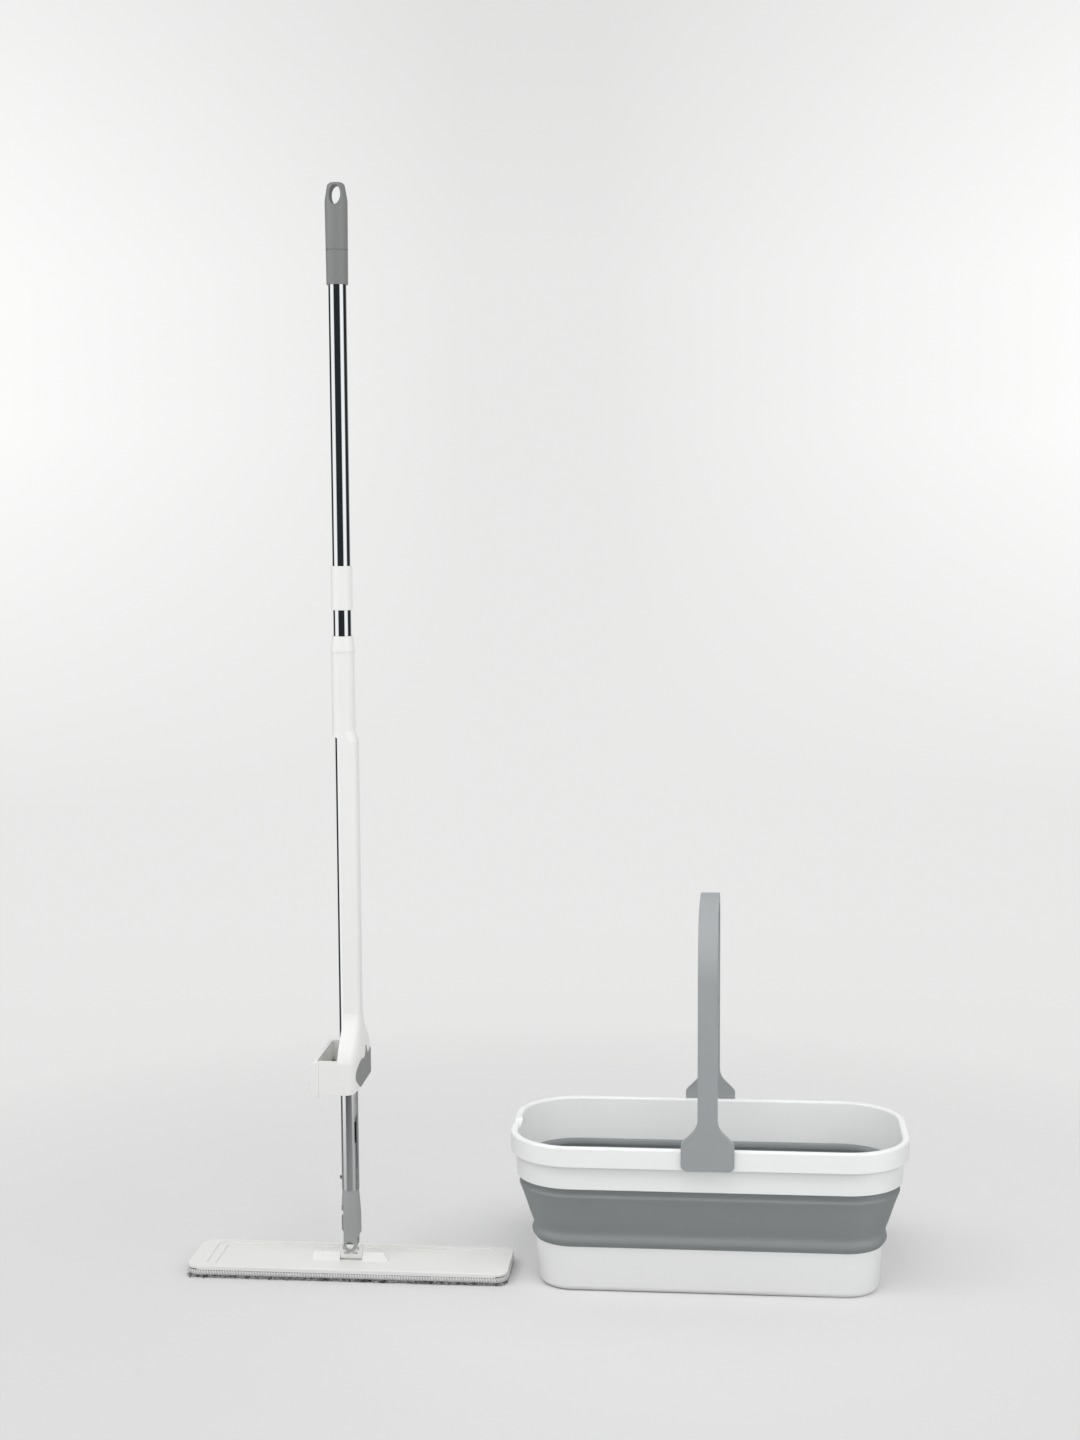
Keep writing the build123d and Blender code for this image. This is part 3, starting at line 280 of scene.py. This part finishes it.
# %% Helpers for modelling by operators
def clear_selection():
    """Leaves edit mode and deselects everything."""
    if bpy.context.object and bpy.context.object.mode != "OBJECT":
        bpy.ops.object.mode_set(mode="OBJECT")
    bpy.ops.object.select_all(action="DESELECT")


def pick(*pieces):
    """Selects pieces, the first one active."""
    clear_selection()
    for piece in pieces:
        piece.select_set(True)
    bpy.context.view_layer.objects.active = pieces[0]


def settle(name, piece):
    """Names a finished piece and puts its place, turn and size into its mesh."""
    pick(piece)
    bpy.ops.object.transform_apply(location=True, rotation=True, scale=True)
    piece.name = name
    piece.data.name = name
    print(name, len(piece.data.polygons), "faces")
    return piece


# %% [markdown]
# The silicone wall is one flexible band between rim and base. On the real bucket it is moulded as a single
# skin with bends that become the folds. It could be extruded ring by ring, but then each bend is a row of
# edges to place by hand. Here a path the shape of the rim carries a cross-section round it. Blender sweeps
# one curve along another, so the section alone decides where the folds lie.

# %% Path round the rim
RIM_LENGTH, RIM_WIDTH, RIM_CORNER = 445 * MM, 208 * MM, 72 * MM
CORNER_STEPS = 28
band_low, band_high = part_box("silicone_band")
bucket_centre = (band_low + band_high) / 2


def rim_outline(name):
    """Closed path round the outside of the rim: a plane with its corners bevelled, kept as edges."""
    clear_selection()
    bpy.ops.mesh.primitive_plane_add(size=1, location=(bucket_centre.x, bucket_centre.y, 0))
    outline = bpy.context.object
    outline.scale = (RIM_LENGTH, RIM_WIDTH, 1)
    bpy.ops.object.transform_apply(location=False, rotation=False, scale=True)
    bpy.ops.object.mode_set(mode="EDIT")
    bpy.ops.mesh.select_all(action="SELECT")
    bpy.ops.mesh.bevel(offset=RIM_CORNER, segments=CORNER_STEPS, affect="VERTICES")
    bpy.ops.mesh.select_all(action="SELECT")
    bpy.ops.mesh.delete(type="ONLY_FACE")
    bpy.ops.object.mode_set(mode="OBJECT")
    bpy.ops.object.convert(target="CURVE")
    bpy.context.object.name = name
    return bpy.context.object


path = rim_outline("band_path")
print("path", len(path.data.splines[0].points), "points")

# %% [markdown]
# The section is drawn from the top down, in millimetres inside the rim's face and above the floor. A
# crease under the rim, and a groove with a bead below it near the base, are where the wall folds. Doubled
# end points keep the smooth curve from rounding off the band's upper and lower edges.

# %% Cross-section of the band
BAND_WALL = 2.4
BAND_OUTER = [
    (7.0, 125.0), (11.4, 124.6), (12.4, 122.4), (12.6, 119.4), (10.6, 117.2), (9.5, 115.4),
    (10.3, 112.8), (13.2, 106.0), (17.4, 93.5), (21.0, 82.0), (23.9, 74.5), (25.7, 69.6),
    (25.9, 66.2), (24.0, 63.0), (23.6, 60.0), (24.8, 56.6), (27.4, 54.4), (28.0, 52.5),
]


def band_section(name):
    """Cross-section of the band as a closed smooth curve, out along one face and back along the other."""
    outer = BAND_OUTER
    inner = [(inset + BAND_WALL, height) for inset, height in reversed(outer)]
    curve = bpy.data.curves.new(name, "CURVE")
    spline = curve.splines.new("NURBS")
    points = outer[:1] + outer + outer[-1:] + inner[:1] + inner + inner[-1:]
    spline.points.add(len(points) - 1)
    for point, (inset, height) in zip(spline.points, points):
        point.co = (-inset * MM, height * MM, 0, 1)
    spline.use_cyclic_u = True
    spline.order_u = 3
    curve.resolution_u = 4
    section = bpy.data.objects.new(name, curve)
    bpy.context.scene.collection.objects.link(section)
    return section


section = band_section("band_section")
print("section", len(section.data.splines[0].points), "points")

# %% [markdown]
# The sweep becomes a mesh and stands for the plain CAD band. It hangs between two bodies that slide
# together and folds flat when they close; here it is attached to the base, which holds its lower edge.

# %% Silicone band
path.data.dimensions = "3D"
path.data.twist_mode = "Z_UP"
path.data.bevel_mode = "OBJECT"
path.data.bevel_object = section
pick(path)
bpy.ops.object.convert(target="MESH")
band = settle("silicone_wall", bpy.context.object)
bpy.data.objects.remove(section)
dress(band, silicone)
pick(band)
bpy.ops.object.shade_smooth_by_angle(angle=math.radians(40))
made_low = Vector([min(v.co[i] for v in band.data.vertices) for i in range(3)])
made_high = Vector([max(v.co[i] for v in band.data.vertices) for i in range(3)])
print("band made", [round(v, 4) for v in made_low], [round(v, 4) for v in made_high])
print("band CAD", [round(v, 4) for v in band_low], [round(v, 4) for v in band_high])
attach(band, "bucket_base")
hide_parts("silicone_band")
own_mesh(band)

# %% [markdown]
# Under the plate hangs the washable pad: a knitted body with an overlocked edge, and a microfibre pile
# that touches the floor, whose dark grey is partly its own colour and partly painted shade along the pad's
# lower edge. It is thin and held flat all over, so a cloth simulation would hardly move it. A soft slab
# starts as a cube at the node's box. Its upright edges are bevelled for the round corners and the rims for
# the soft edge, and a voxel remesh gives it even faces that a displacement can make uneven.

# %% Soft slab
PAD_CORNER = 15 * MM
SLAB_VOXEL = 1.5 * MM


def select_edges(piece, test):
    """Enters edit mode with only the edges selected whose two end points pass a test."""
    if piece.mode != "OBJECT":
        bpy.ops.object.mode_set(mode="OBJECT")
    bpy.context.tool_settings.mesh_select_mode = (False, True, False)
    points = piece.data.vertices
    for part in (piece.data.vertices, piece.data.polygons):
        for item in part:
            item.select = False
    for edge in piece.data.edges:
        first, second = edge.vertices
        edge.select = test(points[first].co, points[second].co)
    bpy.ops.object.mode_set(mode="EDIT")


def apply_all(piece):
    """Applies every modifier of a piece in order."""
    pick(piece)
    for modifier in list(piece.modifiers):
        bpy.ops.object.modifier_apply(modifier=modifier.name)


def soft_slab(name, low, high, edge, uneven, lump_size):
    """Slab in a box with round corners, soft rims and a slightly uneven surface."""
    clear_selection()
    bpy.ops.mesh.primitive_cube_add(size=1, location=(low + high) / 2)
    slab = bpy.context.object
    slab.scale = high - low
    bpy.ops.object.transform_apply(location=True, rotation=True, scale=True)
    middle = (low.z + high.z) / 2
    select_edges(slab, lambda a, b: (a.z - middle) * (b.z - middle) < 0)
    bpy.ops.mesh.bevel(offset=PAD_CORNER, segments=10, affect="EDGES")
    select_edges(slab, lambda a, b: (a.z - middle) * (b.z - middle) > 0)
    bpy.ops.mesh.bevel(offset=edge, segments=4, affect="EDGES")
    bpy.ops.object.mode_set(mode="OBJECT")
    slab.data.remesh_voxel_size = SLAB_VOXEL
    bpy.ops.object.voxel_remesh()
    lumps = bpy.data.textures.new(name + "_lumps", "CLOUDS")
    lumps.noise_scale = lump_size
    bumps = slab.modifiers.new("lumps", "DISPLACE")
    bumps.texture = lumps
    bumps.texture_coords = "LOCAL"
    bumps.strength = uneven
    apply_all(slab)
    bpy.ops.object.shade_smooth()
    return slab


# %% [markdown]
# The knitted body stays half a millimetre inside its node at the sides and a little below the plate. It
# reaches into the pile below, which closes the line between the two.

# %% Pad body
backing_low, backing_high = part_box("pad_backing")
pile_low, pile_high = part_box("pad_pile")
body_low = backing_low + Vector((0.5, 0.5, -0.7)) * MM
body_high = backing_high - Vector((0.5, 0.5, 0.3)) * MM
pad_body = soft_slab("pad_body", body_low, body_high, edge=1.6 * MM, uneven=0.5 * MM, lump_size=0.012)
settle("pad_body", pad_body)

# %% [markdown]
# The pad's edge is bound by an overlock seam: one slanted loop of thread after another from the upper face
# round the edge to the lower face. A bump could only hint at it, and the edge would stay straight against
# the floor. So one loop is drawn as a curve with a round bevel and made a mesh, to be copied at every
# stitch.

# %% Overlock stitch
THREAD_RADIUS = 0.55 * MM
STITCH_REACH, STITCH_SLANT = 2.6 * MM, 2.4 * MM


def thread_loop(height, inset, slant):
    """One overlock stitch round an edge at X = 0, as a small mesh tube."""
    curve = bpy.data.curves.new("stitch", "CURVE")
    curve.dimensions = "3D"
    curve.bevel_depth = THREAD_RADIUS
    curve.bevel_resolution = 0
    curve.use_fill_caps = True
    spline = curve.splines.new("POLY")
    route = [(-inset, -1.0, 0.5), (-0.3 * inset, -0.7, 0.5), (0.05 * inset, -0.2, 0.22),
             (0.05 * inset, 0.2, -0.22), (-0.3 * inset, 0.7, -0.5), (-inset, 1.0, -0.5)]
    spline.points.add(len(route) - 1)
    for point, (x, share, level) in zip(spline.points, route):
        point.co = (x, share * slant / 2, level * height, 1)
    loop = bpy.data.objects.new("stitch", curve)
    bpy.context.scene.collection.objects.link(loop)
    pick(loop)
    bpy.ops.object.convert(target="MESH")
    return bpy.context.object


stitch = thread_loop(backing_high.z - backing_low.z - 0.4 * MM, STITCH_REACH, STITCH_SLANT)
print("stitch", len(stitch.data.polygons), "faces")

# %% [markdown]
# A walk round the pad's outline sets the copies. An array along a curve would squeeze the stitches at the
# corners, while the walk keeps one pitch along sides and bends and closes without a gap. The seam lies a
# little inside the pad's edge, so that the squeeze frame clears it when the pole folds down.


# %% Overlock seam
def outline_walk(low, high, corner, pitch):
    """Even steps round a rounded rectangle: yields a point and the angle that it faces."""
    centre = (low + high) / 2
    half_x, half_y = (high.x - low.x) / 2 - corner, (high.y - low.y) / 2 - corner
    bend = corner * math.pi / 2
    legs = [(2 * half_y, 0), (2 * half_x, 90), (2 * half_y, 180), (2 * half_x, 270)]
    lap = 4 * bend + sum(leg for leg, facing in legs)
    pitch = lap / round(lap / pitch)
    corners = [(half_x, half_y), (-half_x, half_y), (-half_x, -half_y), (half_x, -half_y)]
    step = 0.0
    for (leg, facing), (corner_x, corner_y) in zip(legs, corners):
        out = Vector((math.cos(math.radians(facing)), math.sin(math.radians(facing)), 0))
        along = Vector((-out.y, out.x, 0))
        hub = Vector((corner_x, corner_y, 0)) + centre
        while step < leg:
            yield hub + out * corner - along * (leg - step), math.radians(facing)
            step += pitch
        step -= leg
        while step < bend:
            angle = math.radians(facing) + step / corner
            yield hub + Vector((math.cos(angle), math.sin(angle), 0)) * corner, angle
            step += pitch
        step -= bend


def copy_to(pattern, place):
    """Copy of a piece with its own mesh, set at a place given as a matrix."""
    twin = pattern.copy()
    twin.data = pattern.data.copy()
    twin.matrix_world = place
    bpy.context.scene.collection.objects.link(twin)
    return twin


STITCH_PITCH = 3.1 * MM
SEAM_INSET = Vector((0.9, 0.9, 0)) * MM
seam_low, seam_high = backing_low + SEAM_INSET, backing_high - SEAM_INSET
seam_middle = (backing_low.z + backing_high.z) / 2
stitches = []
for place, facing in outline_walk(seam_low, seam_high, PAD_CORNER, STITCH_PITCH):
    place.z = seam_middle
    stitches.append(copy_to(stitch, Matrix.Translation(place) @ Matrix.Rotation(facing, 4, "Z")))
bpy.data.objects.remove(stitch)
pick(*stitches)
bpy.ops.object.join()
pad_seam = settle("pad_overlock", bpy.context.object)
bpy.ops.object.shade_smooth()
print(len(stitches), "stitches")

# %% [markdown]
# The pile is thousands of short split fibres that clump into soft curls. Hair particles would give single
# fibres, but they are lost when a model is exported as a mesh. A slab carries the pile instead, its dark
# partly painted shade, and each curl is a small ball of few faces, drawn out and bent.

# %% Curl and its carrier
CURL_BEND = 0.5
pile_slab_low = pile_low + Vector((1.5, 1.5, 1.6)) * MM
pile_slab_high = Vector((pile_high.x - 1.5 * MM, pile_high.y - 1.5 * MM, backing_low.z + 0.4 * MM))
pile_body = soft_slab(
    "pile_body", pile_slab_low, pile_slab_high, edge=1.0 * MM, uneven=0.4 * MM, lump_size=0.006
)
clear_selection()
bpy.ops.mesh.primitive_uv_sphere_add(segments=7, ring_count=5, radius=1)
curl = bpy.context.object
for point in curl.data.vertices:
    point.co.x += CURL_BEND * point.co.z * point.co.z
print("curl", len(curl.data.polygons), "faces")

# %% [markdown]
# The curls lie at random turn and size on a jittered grid, and two more rows of them run round the edge,
# where the pile shows most. The random numbers are seeded, so the pad comes out the same each time. No
# curl may reach below the floor.

# %% Microfibre pile
CURL_GRID = 4.6 * MM
CURL_MARGIN = 2 * MM
CURL_LEVEL = 1.7 * MM
CURL_JITTER = 1.3
EDGE_ROWS = ((1.5, 3.4), (3.0, 3.0))
FLOOR_CLEARANCE = 0.05 * MM
chance = random.Random(26)


def curl_place(place, long, thick, tilt):
    """Random turn and size for one curl at a place; tilt is how far it may lean from lying flat."""
    turn = Matrix.Rotation(chance.uniform(0, 2 * math.pi), 4, "Z")
    lean = Matrix.Rotation(math.pi / 2 + chance.uniform(-tilt, tilt), 4, "X")
    size = Matrix.Diagonal((thick * chance.uniform(0.8, 1.25), thick, long * chance.uniform(0.75, 1.3), 1))
    return Matrix.Translation(place) @ turn @ lean @ size


curls = []
columns = int((pile_high.x - pile_low.x - 2 * CURL_MARGIN) / CURL_GRID)
rows = int((pile_high.y - pile_low.y - 2 * CURL_MARGIN) / CURL_GRID)
for column in range(columns + 1):
    for row in range(rows + 1):
        across = pile_low.x + CURL_MARGIN + column * CURL_GRID
        deep = pile_low.y + CURL_MARGIN + row * CURL_GRID
        stray = Vector((chance.uniform(-1, 1), chance.uniform(-1, 1), chance.uniform(-0.2, 0.2)))
        spot = Vector((across, deep, CURL_LEVEL)) + stray * CURL_JITTER * MM
        curls.append(copy_to(curl, curl_place(spot, long=3.1 * MM, thick=1.35 * MM, tilt=0.35)))
for level, spacing in EDGE_ROWS:
    for spot, facing in outline_walk(pile_low, pile_high, PAD_CORNER, spacing * MM):
        inward = Vector((math.cos(facing), math.sin(facing), 0)) * chance.uniform(0.2, 2.0) * MM
        spot = spot - inward
        spot.z = (level + chance.uniform(-0.3, 0.3)) * MM
        curls.append(copy_to(curl, curl_place(spot, long=2.6 * MM, thick=1.2 * MM, tilt=0.5)))
bpy.data.objects.remove(curl)
pick(pile_body, *curls)
bpy.ops.object.join()
pile = settle("pad_fibre_pile", bpy.context.object)
for point in pile.data.vertices:
    point.co.z = max(point.co.z, FLOOR_CLEARANCE)
bpy.ops.object.shade_smooth()
print(len(curls), "curls")

# %% [markdown]
# Knit, thread and fibre share one idea: fine strands seen from a step away are small light and dark specks
# with a matching height. Modelling every loop would take millions of faces. A node group gives crossing
# rows of loops and a mottled speck instead, and each textile uses it at its own scale.


# %% Textile node group
def calc(tree, operation, *values):
    """Math node on sockets or numbers; returns its value."""
    node = tree.nodes.new("ShaderNodeMath")
    node.operation = operation
    for socket, value in zip(node.inputs, values):
        feed(tree, socket, value)
    return node.outputs["Value"]


textile, textile_in, textile_out = new_group(
    "textile_rows",
    [("Vector", "NodeSocketVector", (0, 0, 0)), ("Row Scale", "NodeSocketFloat", 900.0),
     ("Speck Scale", "NodeSocketFloat", 500.0)],
    [("Rows", "NodeSocketFloat"), ("Speck", "NodeSocketFloat")],
)
waves = []
for direction in ("X", "Z"):
    wave = textile.nodes.new("ShaderNodeTexWave")
    wave.bands_direction = direction
    wave.inputs["Distortion"].default_value = 1.4
    textile.links.new(textile_in.outputs["Vector"], wave.inputs["Vector"])
    textile.links.new(textile_in.outputs["Row Scale"], wave.inputs["Scale"])
    waves.append(wave.outputs["Fac"])
speck = noise(textile, textile_in.outputs["Vector"], textile_in.outputs["Speck Scale"], 4.0)
textile.links.new(calc(textile, "MULTIPLY", *waves), textile_out.inputs["Rows"])
textile.links.new(speck, textile_out.inputs["Speck"])
print("node group", textile.name)

# %% [markdown]
# The knit is a mid grey and the overlock thread nearly white. The pile is dark with lighter specks: the
# grey is its own, the darkness partly painted shade along the pad's lower edge. The hook strips under the
# plate are woven tape. A little sheen stands for the fuzz of the fibres, which no bump can give.


# %% Textiles
def cloth(name, light, dark, row_scale, speck_scale, height, contrast):
    """Textile with rows of loops in its height and a mottled colour."""
    material, tree, shader, place = start_material(name)
    group = tree.nodes.new("ShaderNodeGroup")
    group.node_tree = textile
    group.inputs["Row Scale"].default_value = row_scale
    group.inputs["Speck Scale"].default_value = speck_scale
    tree.links.new(place, group.inputs["Vector"])
    mottle = ramp(tree, group.outputs["Speck"], 0.5 - contrast, 0.5 + contrast)
    tone = mix_colour(tree, mottle, (*dark, 1), (*light, 1))
    tree.links.new(tone, shader.inputs["Base Color"])
    tree.links.new(ramp(tree, group.outputs["Rows"], 0.0, 1.0, 0.95, 0.8), shader.inputs["Roughness"])
    shader.inputs["Sheen Weight"].default_value = 0.25
    shader.inputs["Sheen Roughness"].default_value = 0.5
    shader.inputs["Specular IOR Level"].default_value = 0.25
    add_bump(tree, shader, group.outputs["Rows"], 0.6, height)
    return material


knit = cloth("pad_knit", (0.64, 0.64, 0.635), (0.42, 0.422, 0.42),
             row_scale=420.0, speck_scale=600.0, height=0.0004, contrast=0.16)
thread = cloth("overlock_thread", (0.90, 0.90, 0.89), (0.80, 0.80, 0.795),
               row_scale=1500.0, speck_scale=900.0, height=0.0001, contrast=0.2)
# The pile's dark colour is partly its own grey and partly painted shade along the pad's lower edge.
fibre = cloth("microfibre_pile_painted_shade", (0.42, 0.423, 0.425), (0.06, 0.061, 0.063),
              row_scale=700.0, speck_scale=190.0, height=0.0003, contrast=0.10)
hook_tape = cloth("hook_tape", (0.74, 0.74, 0.73), (0.60, 0.60, 0.595),
                  row_scale=1100.0, speck_scale=800.0, height=0.0002, contrast=0.2)
dress(pad_body, knit)
dress(pad_seam, thread)
dress(pile, fibre)
dress(nodes["hook_strips"], hook_tape)
for piece, slot in ((pad_body, "pad_knit"), (pad_seam, "pad_knit"), (pile, "pad_fibre")):
    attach(piece, "mop_head")
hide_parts("pad_backing")
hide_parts("pad_pile")
print(len(bpy.data.materials), "materials with the textiles")

# %% [markdown]
# The floor is a plain pale sheet that keeps the shadows and fades away before its edge, so no horizon line
# shows. A curved backdrop would do that too, but it stands in the way when the object is seen from behind.
# The sheet throws back less light than it shows, and shiny pieces see it thinned, so that upright faces
# stay readable and the screens of the studio still draw their stripes low on the pole.

# %% Floor
FLOOR_TONE, FLOOR_BOUNCE = (0.76, 0.76, 0.755, 1), (0.50, 0.50, 0.495, 1)
FADE_START, FADE_END, FADE_MARGIN = 0.25, 1.15, 0.2
GLOSSY_THINNING = 0.2
clear_selection()
bpy.ops.mesh.primitive_circle_add(vertices=96, radius=FADE_END + FADE_MARGIN, fill_type="NGON")
floor = bpy.context.object
floor.name = "floor"
floor_material, tree, shader, place = start_material("floor_sheet")
shader.inputs["Roughness"].default_value = 0.7
shader.inputs["Specular IOR Level"].default_value = 0.1
rays = tree.nodes.new("ShaderNodeLightPath")
tone = mix_colour(tree, rays.outputs["Is Camera Ray"], FLOOR_BOUNCE, FLOOR_TONE)
tree.links.new(tone, shader.inputs["Base Color"])
far = tree.nodes.new("ShaderNodeVectorMath")
far.operation = "LENGTH"
tree.links.new(place, far.inputs[0])
fade = ramp(tree, far.outputs["Value"], FADE_START, FADE_END)
thinned = calc(tree, "MULTIPLY", rays.outputs["Is Glossy Ray"], GLOSSY_THINNING)
clear = tree.nodes.new("ShaderNodeBsdfTransparent")
blend = tree.nodes.new("ShaderNodeMixShader")
tree.links.new(calc(tree, "MAXIMUM", fade, thinned), blend.inputs["Fac"])
tree.links.new(shader.outputs["BSDF"], blend.inputs[1])
tree.links.new(clear.outputs["BSDF"], blend.inputs[2])
tree.links.new(blend.outputs["Shader"], tree.nodes["Material Output"].inputs["Surface"])
dress(floor, floor_material)
print("floor", round(2 * (FADE_END + FADE_MARGIN), 2), "m across")

# %% [markdown]
# The world plays three parts. To shiny surfaces it is a studio: two tall white screens stand in a dim
# room, one on the left and one on the right, with a pale wall behind the object. They draw the bright
# stripes down the chrome pole. Lamps could draw them too, but would then also light everything else.
# Bearings are measured from the object's front, in degrees.

# %% Studio for shiny surfaces
DIM_ROOM, SCREEN, PALE = (0.035, 0.04, 0.045, 1), (1.6, 1.6, 1.6, 1), (0.8, 0.8, 0.8, 1)
LEFT_SCREEN, RIGHT_SCREEN, BACK_WALL = (-98, -90, -46, -38), (36, 42, 78, 90), (140, 155)


def window(tree, value, rise, full, fall, gone):
    """Smooth mask that rises from zero to one and falls back again over a value."""
    up = ramp(tree, value, rise, full)
    down = ramp(tree, value, fall, gone, 1.0, 0.0)
    return calc(tree, "MULTIPLY", up, down)


world = bpy.data.worlds.new("studio")
bpy.context.scene.world = world
world.use_nodes = True
tree = world.node_tree
coordinates = tree.nodes.new("ShaderNodeTexCoord")
split = tree.nodes.new("ShaderNodeSeparateXYZ")
tree.links.new(coordinates.outputs["Generated"], split.inputs["Vector"])
rays = tree.nodes.new("ShaderNodeLightPath")
across, up = split.outputs["X"], split.outputs["Z"]
bearing = calc(tree, "ARCTAN2", across, calc(tree, "MULTIPLY", split.outputs["Y"], -1))
left_screen = window(tree, bearing, *[math.radians(angle) for angle in LEFT_SCREEN])
right_screen = window(tree, bearing, *[math.radians(angle) for angle in RIGHT_SCREEN])
back_wall = ramp(tree, calc(tree, "ABSOLUTE", bearing), *[math.radians(angle) for angle in BACK_WALL])
room = mix_colour(tree, left_screen, DIM_ROOM, SCREEN)
room = mix_colour(tree, right_screen, room, SCREEN)
room = mix_colour(tree, back_wall, room, PALE)
print("studio", len(tree.nodes), "nodes")

# %% [markdown]
# To the camera the world is a pale backdrop, brighter at the sides and a little darker low down and high
# up. To matt surfaces it is a sky that is brightest low down. Each kind of ray picks its own part, so the
# backdrop can be pale without more light on the object.

# %% Backdrop and sky
SKY_LOW, SKY_HIGH = (0.86, 0.865, 0.87, 1), (0.59, 0.595, 0.60, 1)
BACKDROP, BACKDROP_LOW = (0.81, 0.81, 0.805, 1), (0.755, 0.755, 0.75, 1)
BACKDROP_SIDE, BACKDROP_TOP = (0.98, 0.98, 0.975, 1), (0.75, 0.75, 0.745, 1)
off_centre = calc(tree, "ABSOLUTE", calc(tree, "ADD", across, math.sin(VIEW_TURN)))
side_band = window(tree, up, -0.14, 0.03, 0.10, 0.40)
sides = calc(tree, "MULTIPLY", ramp(tree, off_centre, 0.03, 0.25), side_band)
backdrop = mix_colour(tree, ramp(tree, up, -0.38, -0.20), BACKDROP_LOW, BACKDROP)
backdrop = mix_colour(tree, ramp(tree, up, 0.10, 0.23), backdrop, BACKDROP_TOP)
backdrop = mix_colour(tree, sides, backdrop, BACKDROP_SIDE)
sky = mix_colour(tree, ramp(tree, up, 0.1, 0.85), SKY_LOW, SKY_HIGH)
seen = mix_colour(tree, rays.outputs["Is Glossy Ray"], sky, room)
seen = mix_colour(tree, rays.outputs["Is Camera Ray"], seen, backdrop)
tree.links.new(seen, tree.nodes["Background"].inputs["Color"])
print("world", len(tree.nodes), "nodes")

# %% [markdown]
# Four soft lamps give the forms their direction: a key from the upper left, a weaker fill from the right,
# a weak one from the front, and a small one close above that reaches into the bucket. The small one has a
# narrow beam, because an open one would also light the upright pole beside it.


# %% Lamps
def soft_lamp(name, place, aim, size, power, spread=180):
    """Square area lamp aimed at a point, with the full angle of its beam in degrees."""
    data = bpy.data.lights.new(name, "AREA")
    data.size = size
    data.energy = power
    data.spread = math.radians(spread)
    lamp = bpy.data.objects.new(name, data)
    bpy.context.scene.collection.objects.link(lamp)
    lamp.location = place
    lamp.rotation_euler = (Vector(aim) - Vector(place)).to_track_quat("-Z", "Y").to_euler()
    lamp.visible_glossy = False
    lamp.visible_camera = False
    print(name, power, "W")


soft_lamp("key_screen", (-1.6, -1.2, 2.6), aim=(0, 0, 0.3), size=1.4, power=19)
soft_lamp("fill_screen", (2.2, -1.2, 1.8), aim=(0, 0, 0.4), size=1.6, power=12)
soft_lamp("front_screen", (0.3, -2.6, 1.5), aim=(0.2, 0, 0.2), size=1.8, power=9)
soft_lamp("bucket_screen", (0.2, -0.55, 1.25), aim=(0.18, 0.09, 0.12), size=0.5, power=0.5, spread=60)
